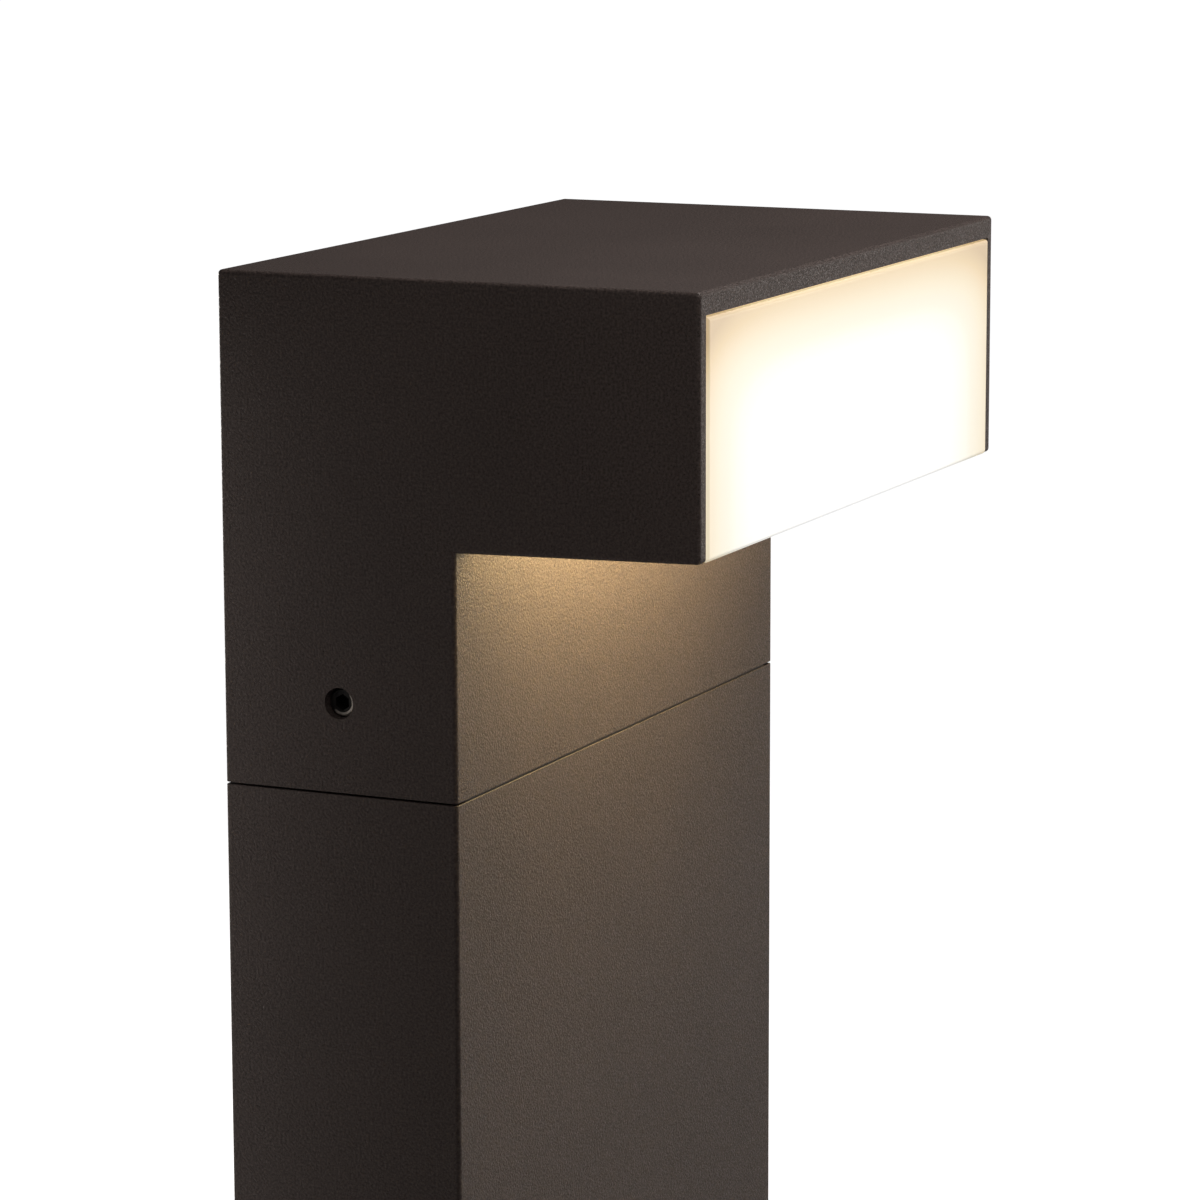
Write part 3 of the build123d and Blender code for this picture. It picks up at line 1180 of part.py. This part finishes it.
for side, lead_name in ((1, "positive"), (-1, "negative")):
    feed_x = FEED_X + side * FEED_SPREAD
    feed_y = LED_LEAD_Y if side == 1 else LED_LEAD_Y + LED_LEAD_STEP
    led_lead = make_lead(
        [(DRIVER_X0, feed_y, FEED_Z), (feed_x, feed_y, FEED_Z), (feed_x, CONNECTOR_REAR_Y, FEED_Z)],
        [LED_LEAD_BEND],
        LED_LEAD_RADIUS,
    )
    led_lead.part.label = f"led_lead_{lead_name}"
    export_step(led_lead.part, f"parts/led_lead_{lead_name}.step")

# ==== Clamping screws ====
for side, side_name in ((-1, "left"), (1, "right")):
    with BuildPart() as grub_screw:
        outer_end = Plane(origin=(side * (HALF_WIDTH - GRUB_BELOW_FACE), 0, GRUB_Z), z_dir=(side, 0, 0))
        with BuildSketch(outer_end):
            Circle(GRUB_RADIUS)
        extrude(amount=-GRUB_LENGTH)
        chamfer(grub_screw.edges().filter_by(GeomType.CIRCLE), length=GRUB_CHAMFER)
        with BuildSketch(outer_end):
            RegularPolygon(GRUB_DRIVE_RADIUS, 6)
        extrude(amount=-GRUB_DRIVE_DEPTH, mode=Mode.SUBTRACT)
    grub_screw.part.label = f"grub_screw_{side_name}"
    export_step(grub_screw.part, f"parts/grub_screw_{side_name}.step")
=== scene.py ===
import json
import math

import bpy
from mathutils import Matrix, Vector


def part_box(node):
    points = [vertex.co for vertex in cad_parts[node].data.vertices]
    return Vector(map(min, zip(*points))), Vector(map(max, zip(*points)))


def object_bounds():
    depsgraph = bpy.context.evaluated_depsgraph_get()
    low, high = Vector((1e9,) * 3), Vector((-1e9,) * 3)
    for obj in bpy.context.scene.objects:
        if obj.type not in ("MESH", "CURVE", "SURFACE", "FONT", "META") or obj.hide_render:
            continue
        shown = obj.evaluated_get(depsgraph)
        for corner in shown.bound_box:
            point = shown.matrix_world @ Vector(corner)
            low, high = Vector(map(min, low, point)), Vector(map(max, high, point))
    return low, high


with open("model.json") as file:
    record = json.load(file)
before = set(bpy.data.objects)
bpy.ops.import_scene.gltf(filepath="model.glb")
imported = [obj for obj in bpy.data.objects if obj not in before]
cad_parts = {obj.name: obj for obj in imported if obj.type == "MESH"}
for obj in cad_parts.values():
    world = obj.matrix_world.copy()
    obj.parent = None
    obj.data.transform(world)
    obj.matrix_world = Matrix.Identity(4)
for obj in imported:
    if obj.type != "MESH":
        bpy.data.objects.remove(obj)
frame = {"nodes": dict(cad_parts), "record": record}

cad_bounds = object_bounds()

# Bollard light with a lit opal window, on a pale studio floor. Metres, in the frame of the CAD model:
# +Z is up, the window faces -Y and the origin is on the ground under the post's centre.

MILLIMETRE = 0.001
MICROMETRE = 0.000001

# ---- Places worked out from the frame ----
GROUND = cad_bounds[0].z
SEAM_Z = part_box("head_housing")[0].z
window_low, window_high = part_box("diffuser")
WINDOW_HALF_WIDTH = (window_high.x - window_low.x) / 2
WINDOW_HEIGHT = window_high.z - window_low.z

# ---- Camera ----
LENS = 140.22                                            # millimetres
SENSOR = 36.0
CAMERA_FROM_SEAM = Vector((-0.7666, -0.3682, 0.1764))   # from the post's axis at the seam
CAMERA_HEADING = 0.4292                                  # radians, from +X towards +Y
CAMERA_PITCH = 0.1795                                    # radians below the horizon
CAMERA_ROLL = -0.0029                                    # radians


def make_camera():
    """The camera at the reference viewing angle, from the left and a little above."""
    data = bpy.data.cameras.new("camera")
    data.lens = LENS
    data.sensor_width = SENSOR
    data.clip_start = 0.01
    data.clip_end = 200
    camera = bpy.data.objects.new("camera", data)
    bpy.context.scene.collection.objects.link(camera)
    forward = Vector((
        math.cos(CAMERA_HEADING) * math.cos(CAMERA_PITCH),
        math.sin(CAMERA_HEADING) * math.cos(CAMERA_PITCH),
        -math.sin(CAMERA_PITCH),
    ))
    level = forward.to_track_quat("-Z", "Y").to_matrix().to_4x4()
    roll = Matrix.Rotation(CAMERA_ROLL, 4, "Z")
    camera.matrix_world = Matrix.Translation(Vector((0, 0, SEAM_Z)) + CAMERA_FROM_SEAM) @ level @ roll
    bpy.context.scene.camera = camera


# ---- Light of the window ----
FRONT_GLOW = 0.93             # strength on the flat front
RIM_GLOW_WITH_HIGHLIGHT = FRONT_GLOW * 1.6   # where its edges turn to the side, the glow raised as a painted highlight along the window's border
LOWER_EDGE_DIM = 0.68         # part left on the curve of its lower edge
FRONT_COLOURS = (             # from the middle to the most shaded corner
    (0.0, (0.90, 0.92, 0.93)),
    (0.25, (0.70, 0.68, 0.58)),
    (0.5, (0.65, 0.57, 0.41)),
    (0.75, (0.55, 0.42, 0.23)),
    (1.0, (0.40, 0.28, 0.14)),
)
SIDE_SHADE = 0.52             # shade at the left and right borders
SIDE_REACH = 0.17             # how far it reaches in, in half widths
TOP_SHADE = 0.74              # shade at the top border
TOP_REACH = 0.19              # how far it reaches down, in heights
TOP_POWER = 1.4               # above 1, the shade holds longer and then ends faster

# Normals that bound each zone. Straight down is -1.
LOWER_EDGE_START = -0.15
LOWER_EDGE_END = -0.6
UNDER_START = -0.93
UNDER_END = -0.985

UNDER_GLOW = 40.0             # strength on the underside, at its brightest
UNDER_COLOUR = (1.0, 0.75, 0.345)
UNDER_CENTRE = -0.004         # metres along X
UNDER_SPREAD = 0.054          # metres to each side
UNDER_REACH = 0.032           # metres forwards from the column

# ---- Powder coat ----
GRAIN_SHARE = 0.85            # of the coat's tone. The rest is broad clouds

# ---- Ring round the clamping screws' sockets ----
RING_INNER = 1.75 * MILLIMETRE
RING_FULL = 1.06 * RING_INNER
# Painted highlight: the ring shows bright only on the side where light would fall into the socket.
LIT_SIDE_START = -1.2 * MILLIMETRE    # the painted highlight fades from here, below and in front of the screw's axis, to here, above and behind it
LIT_SIDE_END = 0.6 * MILLIMETRE       # to here, above and behind it

# ---- Nodes ----
MIX_SOCKETS = {   # a Mix node's first and second input and its result, for each kind of value
    "FLOAT": (2, 3, 0),
    "RGBA": (6, 7, 2),
}


class Nodes:
    """A node tree, with short ways to add to it."""

    def __init__(self, tree):
        self.tree = tree

    def add(self, kind, **settings):
        """A new node, with its settings."""
        node = self.tree.nodes.new("ShaderNode" + kind)
        for name, value in settings.items():
            setattr(node, name, value)
        return node

    def feed(self, socket, value):
        """Sets an input, or links it if the value is another node's output."""
        if isinstance(value, bpy.types.NodeSocket):
            self.tree.links.new(value, socket)
        else:
            socket.default_value = value

    def math(self, operation, first, second=0.0):
        """The result of a sum on one or two values."""
        node = self.add("Math", operation=operation)
        self.feed(node.inputs[0], first)
        self.feed(node.inputs[1], second)
        return node.outputs[0]

    def span(self, value, low, high, start=0.0, end=1.0, smooth=False):
        """The value, taken from start..end to low..high."""
        node = self.add("MapRange", interpolation_type="SMOOTHSTEP" if smooth else "LINEAR")
        self.feed(node.inputs["Value"], value)
        self.feed(node.inputs["From Min"], start)
        self.feed(node.inputs["From Max"], end)
        self.feed(node.inputs["To Min"], low)
        self.feed(node.inputs["To Max"], high)
        return node.outputs["Result"]

    def fall(self, value, reach, power=2.0, start=1.0):
        """A value that falls from start at 0 as exp(-(value / reach) ** power)."""
        steps = self.math("POWER", self.math("MAXIMUM", self.math("DIVIDE", value, reach), 0.0), power)
        return self.math("MULTIPLY", self.math("EXPONENT", self.math("MULTIPLY", steps, -1.0)), start)

    def mix(self, kind, factor, first, second):
        """The first value where the factor is 0, and the second where it is 1."""
        node = self.add("Mix", data_type=kind)
        first_input, second_input, result = MIX_SOCKETS[kind]
        self.feed(node.inputs["Factor"], factor)
        self.feed(node.inputs[first_input], first)
        self.feed(node.inputs[second_input], second)
        return node.outputs[result]

    def ramp(self, value, *stops, interpolation="LINEAR"):
        """A colour ramp through (position, (r, g, b)) stops."""
        node = self.add("ValToRGB")
        node.color_ramp.interpolation = interpolation
        elements = node.color_ramp.elements
        while len(elements) < len(stops):
            elements.new(0.5)
        for element, (position, colour) in zip(elements, stops):
            element.position = position
            element.color = (*colour, 1)
        self.feed(node.inputs["Fac"], value)
        return node.outputs["Color"]

    def axes(self, vector):
        """A vector's x, y and z."""
        node = self.add("SeparateXYZ")
        self.feed(node.inputs[0], vector)
        return node.outputs


# ---- Procedural materials ----
class Look(Nodes):
    """One node material. Its patterns lie in the part's own space, in metres."""

    def __init__(self, name):
        self.material = bpy.data.materials.new(name)
        self.material.use_nodes = True
        super().__init__(self.material.node_tree)
        self.shader = self.tree.nodes["Principled BSDF"]
        self.place = self.add("TexCoord").outputs["Object"]

    def set(self, **inputs):
        """Feeds the shader's inputs, named with underscores for spaces."""
        for name, value in inputs.items():
            self.feed(self.shader.inputs[name.replace("_", " ")], value)
        return self

    def pattern(self, kind, scale, **settings):
        """A texture node of this kind and scale."""
        node = self.add("Tex" + kind, **settings)
        self.feed(node.inputs["Vector"], self.place)
        self.feed(node.inputs["Scale"], scale)
        return node

    def noise(self, scale, detail=2.0, roughness=0.5):
        """Noise from 0 to 1, with about this many cells to the metre."""
        node = self.pattern("Noise", scale)
        self.feed(node.inputs["Detail"], detail)
        self.feed(node.inputs["Roughness"], roughness)
        return node.outputs["Fac"]

    def facing(self):
        """The x, y and z of the surface's normal."""
        return self.axes(self.add("TexCoord").outputs["Normal"])

    def bump(self, height, depth):
        """Raises the surface by up to depth metres where the height is 1."""
        node = self.add("Bump")
        self.feed(node.inputs["Height"], height)
        self.feed(node.inputs["Distance"], depth)
        return self.set(Normal=node.outputs["Normal"])


def powder_coat():
    """Fine-textured anthracite-brown powder coat: grains of about 0.4 mm, with small glints."""
    look = Look("powder_coat")
    grain = look.noise(2300, detail=2, roughness=0.6)
    specks = look.noise(3100, detail=1)
    clouds = look.noise(22, detail=3)
    fine = look.math("MULTIPLY", grain, GRAIN_SHARE)
    broad = look.math("MULTIPLY", clouds, 1 - GRAIN_SHARE)
    tone = look.math("ADD", fine, broad)
    look.set(
        Base_Color=look.ramp(tone, (0.36, (0.0260, 0.0198, 0.0183)), (0.64, (0.0640, 0.0488, 0.0453))),
        Roughness=look.span(specks, 0.66, 0.22, start=0.44, end=0.7),
        Specular_IOR_Level=0.28,
    )
    return look.bump(grain, 140 * MICROMETRE)


def opal():
    """Lit opal acrylic: white in the middle, warmer towards its top and sides, strongest underneath."""
    look = Look("opal")
    axis = look.axes(look.place)
    facing = look.facing()

    half_widths = look.math("DIVIDE", look.math("ABSOLUTE", axis["X"]), WINDOW_HALF_WIDTH)
    inward = look.math("SUBTRACT", 1.0, half_widths)
    side_shade = look.fall(inward, SIDE_REACH, power=1.0, start=SIDE_SHADE)
    down = look.math("DIVIDE", look.math("SUBTRACT", window_high.z, axis["Z"]), WINDOW_HEIGHT)
    top_shade = look.fall(down, TOP_REACH, power=TOP_POWER, start=TOP_SHADE)
    front_colour = look.ramp(look.math("ADD", side_shade, top_shade), *FRONT_COLOURS)

    # Painted highlight: the glow is raised where the window's edges curve to the side.
    rim = look.math("SUBTRACT", 1.0, look.math("ABSOLUTE", facing["Y"]))
    lower_edge = look.span(facing["Z"], 1.0, LOWER_EDGE_DIM, LOWER_EDGE_START, LOWER_EDGE_END)
    front_glow = look.math("MULTIPLY", look.span(rim, FRONT_GLOW, RIM_GLOW_WITH_HIGHLIGHT), lower_edge)

    off_centre = look.math("ABSOLUTE", look.math("SUBTRACT", axis["X"], UNDER_CENTRE))
    across_glow = look.fall(off_centre, UNDER_SPREAD)
    forward = look.math("SUBTRACT", window_high.y, axis["Y"])
    forward_glow = look.fall(forward, UNDER_REACH)
    under_glow = look.math("MULTIPLY", look.math("MULTIPLY", across_glow, forward_glow), UNDER_GLOW)

    under = look.span(facing["Z"], 0.0, 1.0, UNDER_START, UNDER_END)
    look.set(
        Base_Color=(0.36, 0.33, 0.28, 1),
        Roughness=look.span(look.noise(60, detail=2), 0.28, 0.36),
        Emission_Color=look.mix("RGBA", under, front_colour, (*UNDER_COLOUR, 1)),
        Emission_Strength=look.mix("FLOAT", under, front_glow, under_glow),
    )
    return look.bump(look.noise(900, detail=1), 6 * MICROMETRE)


def silicone():
    """Translucent white silicone."""
    look = Look("silicone")
    cloud = look.noise(140, detail=2)
    look.set(
        Base_Color=look.ramp(cloud, (0.3, (0.74, 0.73, 0.70)), (0.7, (0.84, 0.83, 0.80))),
        Roughness=look.span(cloud, 0.42, 0.55),
        Subsurface_Weight=0.3,
        Subsurface_Radius=(0.002, 0.002, 0.0015),
    )
    return look.bump(look.noise(1500), 20 * MICROMETRE)


def epdm():
    """Black rubber with a dry bloom."""
    look = Look("epdm")
    bloom = look.noise(160, detail=4, roughness=0.6)
    look.set(
        Base_Color=look.ramp(bloom, (0.35, (0.014, 0.014, 0.015)), (0.75, (0.034, 0.033, 0.032))),
        Roughness=look.span(bloom, 0.62, 0.8),
        Specular_IOR_Level=0.3,
    )
    return look.bump(look.noise(2200, detail=3), 30 * MICROMETRE)


def metal(name, dark, light, roughness, grain_scale, grain_depth, tint_scale=90):
    """Bare metal: a base from dark to light, with a grain."""
    look = Look(name)
    tint = look.noise(tint_scale, detail=4, roughness=0.6)
    grain = look.noise(grain_scale, detail=2)
    look.set(
        Base_Color=look.ramp(tint, (0.3, dark), (0.7, light)),
        Metallic=1.0,
        Roughness=look.span(tint, *roughness, start=0.3, end=0.7),
    )
    return look.bump(grain, grain_depth)


def cast_raw():
    """Shot-blasted die-cast aluminium."""
    return metal("cast_raw", (0.50, 0.51, 0.52), (0.66, 0.66, 0.66), (0.36, 0.5), 2600, 50 * MICROMETRE)


def stainless():
    """Turned stainless steel."""
    return metal("stainless", (0.50, 0.50, 0.49), (0.64, 0.63, 0.61), (0.2, 0.34), 4200, 10 * MICROMETRE)


def black_oxide():
    """Blackened steel with a ring of bright turned metal round each clamping screw's socket; a painted highlight
    shows the ring only on its lower front side, in patches.
    """
    look = Look("black_oxide")
    low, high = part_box("grub_screw_left")
    axis = look.axes(look.place)
    across = look.math("SUBTRACT", axis["Y"], (low.y + high.y) / 2)
    above = look.math("SUBTRACT", axis["Z"], (low.z + high.z) / 2)
    radius = look.math("SQRT", look.math("ADD", look.math("POWER", across, 2), look.math("POWER", above, 2)))
    outwards = look.math("ABSOLUTE", look.facing()["X"])
    turned = look.math("MULTIPLY", look.span(radius, 0.0, 1.0, RING_INNER, RING_FULL), outwards)
    # painted highlight: bright below and in front of the screw's axis, fading above and behind it
    painted_highlight_side = look.span(look.math("ADD", across, above), 1.0, 0.0, LIT_SIDE_START, LIT_SIDE_END, smooth=True)
    wear = look.noise(2600, detail=3)
    patches = look.span(wear, 0.75, 1.0, start=0.3, end=0.6)
    # the turned ring, only where the painted highlight falls, in patches
    bright = look.math("MULTIPLY", look.math("MULTIPLY", turned, painted_highlight_side), patches)
    look.set(
        Base_Color=look.ramp(bright, (0.1, (0.006, 0.0055, 0.005)), (0.9, (0.78, 0.72, 0.66))),
        Metallic=look.span(bright, 0.2, 1.0),
        Roughness=look.span(wear, 0.34, 0.5),
    )
    return look.bump(wear, 10 * MICROMETRE)


def zinc_steel():
    """Zinc-plated steel, passivated, with a faint blue and straw tint."""
    return metal("zinc_steel", (0.56, 0.59, 0.63), (0.70, 0.67, 0.59), (0.26, 0.4), 3000, 10 * MICROMETRE, 130)


def brass():
    """Turned brass, a little dulled."""
    return metal("brass", (0.62, 0.44, 0.18), (0.80, 0.62, 0.30), (0.2, 0.36), 4000, 10 * MICROMETRE, 300)


def plastic(name, dark, light, roughness):
    """Moulded plastic with a spark-eroded grain."""
    look = Look(name)
    cloud = look.noise(70, detail=3)
    look.set(
        Base_Color=look.ramp(cloud, (0.3, dark), (0.7, light)),
        Roughness=look.span(cloud, *roughness, start=0.3, end=0.7),
    )
    return look.bump(look.noise(2800, detail=2), 20 * MICROMETRE)


def black_plastic():
    """Black polyamide."""
    return plastic("black_plastic", (0.014, 0.014, 0.015), (0.026, 0.026, 0.027), (0.42, 0.55))


def white_plastic():
    """White polycarbonate."""
    return plastic("white_plastic", (0.76, 0.76, 0.73), (0.84, 0.84, 0.81), (0.32, 0.44))


def board(name, mask, trace, roughness):
    """A circuit board: solder mask over faintly raised copper runs."""
    look = Look(name)
    runs = look.pattern("Brick", 240.0, offset=0.37)
    look.feed(runs.inputs["Mortar Size"], 0.06)
    look.feed(runs.inputs["Color1"], (1, 1, 1, 1))
    look.feed(runs.inputs["Color2"], (0.8, 0.8, 0.8, 1))
    look.feed(runs.inputs["Mortar"], (0, 0, 0, 1))
    copper = runs.outputs["Color"]
    look.set(
        Base_Color=look.ramp(copper, (0.0, mask), (1.0, trace)),
        Roughness=look.span(look.noise(400), *roughness),
        Coat_Weight=0.3,
        Coat_Roughness=0.1,
    )
    return look.bump(copper, 30 * MICROMETRE)


def board_white():
    """White solder mask."""
    return board("board_white", (0.74, 0.75, 0.73), (0.84, 0.85, 0.83), (0.25, 0.35))


def board_green():
    """Green solder mask."""
    return board("board_green", (0.012, 0.10, 0.035), (0.03, 0.20, 0.07), (0.2, 0.32))


def thermal():
    """Grey thermal silicone with a fabric print."""
    look = Look("thermal")
    weave = look.pattern("Checker", 1600.0)
    cloud = look.noise(110, detail=3)
    look.set(
        Base_Color=look.ramp(cloud, (0.3, (0.36, 0.38, 0.43)), (0.7, (0.46, 0.48, 0.53))),
        Roughness=look.span(cloud, 0.7, 0.85),
    )
    return look.bump(weave.outputs["Fac"], 20 * MICROMETRE)


def led():
    """LED packages: yellow phosphor behind clear silicone, lit."""
    look = Look("led")
    cloud = look.noise(800, detail=2)
    look.set(
        Base_Color=look.ramp(cloud, (0.3, (0.86, 0.60, 0.14)), (0.7, (0.95, 0.74, 0.26))),
        Roughness=look.span(cloud, 0.12, 0.2),
        Emission_Color=(1.0, 0.74, 0.42, 1),
        Emission_Strength=4.0,
    )
    return look.bump(look.noise(2500), 10 * MICROMETRE)


def component():
    """Driver electronics: a sleeved capacitor, a ferrite transformer and a wound choke, from left to right."""
    look = Look("component")
    low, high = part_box("driver_components")
    along = look.span(look.axes(look.place)["X"], 0.0, 1.0, low.x, high.x)
    winding = look.pattern("Wave", 380.0, wave_type="BANDS", bands_direction="Z")
    look.set(
        Base_Color=look.ramp(
            along,
            (0.0, (0.02, 0.03, 0.09)),
            (0.25, (0.035, 0.035, 0.038)),
            (0.72, (0.42, 0.16, 0.06)),
            interpolation="CONSTANT",
        ),
        Roughness=look.span(look.noise(300), 0.32, 0.5),
    )
    return look.bump(winding.outputs["Fac"], 60 * MICROMETRE)


def insulation(name, dark, light):
    """PVC insulation, slightly wavy from extrusion."""
    look = Look(name)
    cloud = look.noise(220)
    look.set(
        Base_Color=look.ramp(cloud, (0.3, dark), (0.7, light)),
        Roughness=look.span(cloud, 0.34, 0.46),
    )
    return look.bump(look.noise(1400), 20 * MICROMETRE)


def wire_blue():
    """Blue insulation."""
    return insulation("wire_blue", (0.02, 0.10, 0.42), (0.03, 0.15, 0.54))


def wire_brown():
    """Brown insulation."""
    return insulation("wire_brown", (0.10, 0.035, 0.014), (0.15, 0.055, 0.022))


def wire_earth():
    """Green and yellow insulation, in stripes."""
    look = Look("wire_earth")
    stripes = look.pattern("Wave", 150.0, wave_type="BANDS", bands_direction="DIAGONAL")
    look.set(
        Base_Color=look.ramp(stripes.outputs["Fac"], (0.45, (0.05, 0.36, 0.05)), (0.55, (0.80, 0.66, 0.03))),
        Roughness=look.span(look.noise(220), 0.34, 0.46),
    )
    return look.bump(look.noise(1400), 20 * MICROMETRE)


def wire_red():
    """Red insulation."""
    return insulation("wire_red", (0.42, 0.02, 0.015), (0.54, 0.035, 0.025))


def wire_black():
    """Black insulation."""
    return insulation("wire_black", (0.012, 0.012, 0.013), (0.024, 0.024, 0.025))


LOOKS = {
    look.__name__: look
    for look in (
        powder_coat, opal, silicone, epdm, cast_raw, stainless, black_oxide, zinc_steel, black_plastic, white_plastic,
        brass, board_white, board_green, thermal, led, component,
        wire_blue, wire_brown, wire_earth, wire_red, wire_black,
    )
}


def dress_frame():
    """Gives each CAD node the material of its slot in the record."""
    made = {slot: make().material for slot, make in LOOKS.items()}
    for part in frame["record"]["subparts"]:
        node = frame["nodes"][part["node"]]
        for place in node.material_slots:
            place.material = made[part["material_slot"]]


# ---- Studio ----
FLOOR_SIZE = 120.0
FLOOR_DROP = 0.2 * MILLIMETRE
FADE_START = 0.25             # metres from the post, where the floor begins to fade to white
FADE_END = 0.95               # and where it is white
FLOOR_NEAR = 0.45             # strength that the floor shows the camera before the fade,
FLOOR_FAR = 1.0               # and after it
AMBIENT = 0.03                # strength of the surroundings on the camera's side,
BACKLIGHT = 0.03              # and how much is added behind the object
BACK = Vector((0.909, 0.417, 0.0))    # away from the camera
BACK_EDGE = 0.6               # the addition is full at this cosine from BACK, and nil at minus it
LAMP_COLOUR = (1.0, 0.92, 0.86)
LAMPS = (
    # name, place, target, size, power
    ("overhead", (0.08, -0.22, 0.85), (0, -0.05, 0.5), (0.25, 0.25), 2.2),
    ("rear_strip", (-0.1, 0.055, 0.285), (-0.07, 0, 0.285), (0.02, 0.4), 0.054),
    ("rear_fill", (0.7, 1.3, 0.32), (0, 0, 0.25), (0.7, 0.35), 6.0),
    ("left", (-0.25, -0.15, 0.6), (-0.07, -0.05, 0.47), (0.14, 0.14), 0.17),
    ("front_right", (1.6, -1.3, 0.5), (0, 0, 0.35), (0.9, 0.9), 10.5),
    ("front_near", (0.16, -0.3, 0.26), (0, -0.02, 0.3), (0.15, 0.15), 0.03),
)


def make_floor():
    """A pale floor that shows white away from the object."""
    half = FLOOR_SIZE / 2
    corners = [(-half, -half, 0), (half, -half, 0), (half, half, 0), (-half, half, 0)]
    mesh = bpy.data.meshes.new("floor")
    mesh.from_pydata(corners, [], [(0, 1, 2, 3)])
    floor = bpy.data.objects.new("floor", mesh)
    bpy.context.scene.collection.objects.link(floor)
    floor.location.z = GROUND - FLOOR_DROP
    look = Look("floor")
    distance = look.add("VectorMath", operation="LENGTH")
    look.feed(distance.inputs[0], look.place)
    fade = look.span(distance.outputs["Value"], FLOOR_NEAR, FLOOR_FAR, FADE_START, FADE_END, smooth=True)
    seen = look.add("LightPath").outputs["Is Camera Ray"]
    look.set(
        Base_Color=look.ramp(look.noise(3, detail=3), (0.3, (0.80, 0.80, 0.79)), (0.7, (0.82, 0.82, 0.81))),
        Roughness=look.span(look.noise(40), 0.7, 0.8),
        Specular_IOR_Level=0.1,
        Emission_Color=(1, 1, 1, 1),
        Emission_Strength=look.math("MULTIPLY", fade, seen),
    )
    floor.data.materials.append(look.bump(look.noise(700), 100 * MICROMETRE).material)


def make_world():
    """Soft surroundings, a little brighter behind the object, that show white."""
    world = bpy.data.worlds.new("studio")
    bpy.context.scene.world = world
    world.use_nodes = True
    nodes = Nodes(world.node_tree)
    facing = nodes.add("VectorMath", operation="DOT_PRODUCT")
    nodes.feed(facing.inputs[0], nodes.add("TexCoord").outputs["Generated"])
    nodes.feed(facing.inputs[1], BACK)
    level = nodes.span(facing.outputs["Value"], AMBIENT, AMBIENT + BACKLIGHT, -BACK_EDGE, BACK_EDGE, smooth=True)
    seen = nodes.add("LightPath").outputs["Is Camera Ray"]
    background = world.node_tree.nodes["Background"]
    nodes.feed(background.inputs["Color"], (1, 1, 1, 1))
    nodes.feed(background.inputs["Strength"], nodes.mix("FLOAT", seen, level, 1.0))


def make_lamp(name, place, target, size, power):
    """A soft rectangular lamp at a place, aimed at a target."""
    data = bpy.data.lights.new(name, "AREA")
    data.shape = "RECTANGLE"
    data.size, data.size_y = size
    data.energy = power
    data.color = LAMP_COLOUR
    lamp = bpy.data.objects.new(name, data)
    bpy.context.scene.collection.objects.link(lamp)
    lamp.location = place
    lamp.rotation_mode = "QUATERNION"
    lamp.rotation_quaternion = (Vector(target) - Vector(place)).to_track_quat("-Z", "Y")
    lamp.visible_camera = False


make_camera()
dress_frame()
make_floor()
make_world()
for lamp in LAMPS:
    make_lamp(*lamp)
bpy.context.scene.view_settings.view_transform = "Standard"
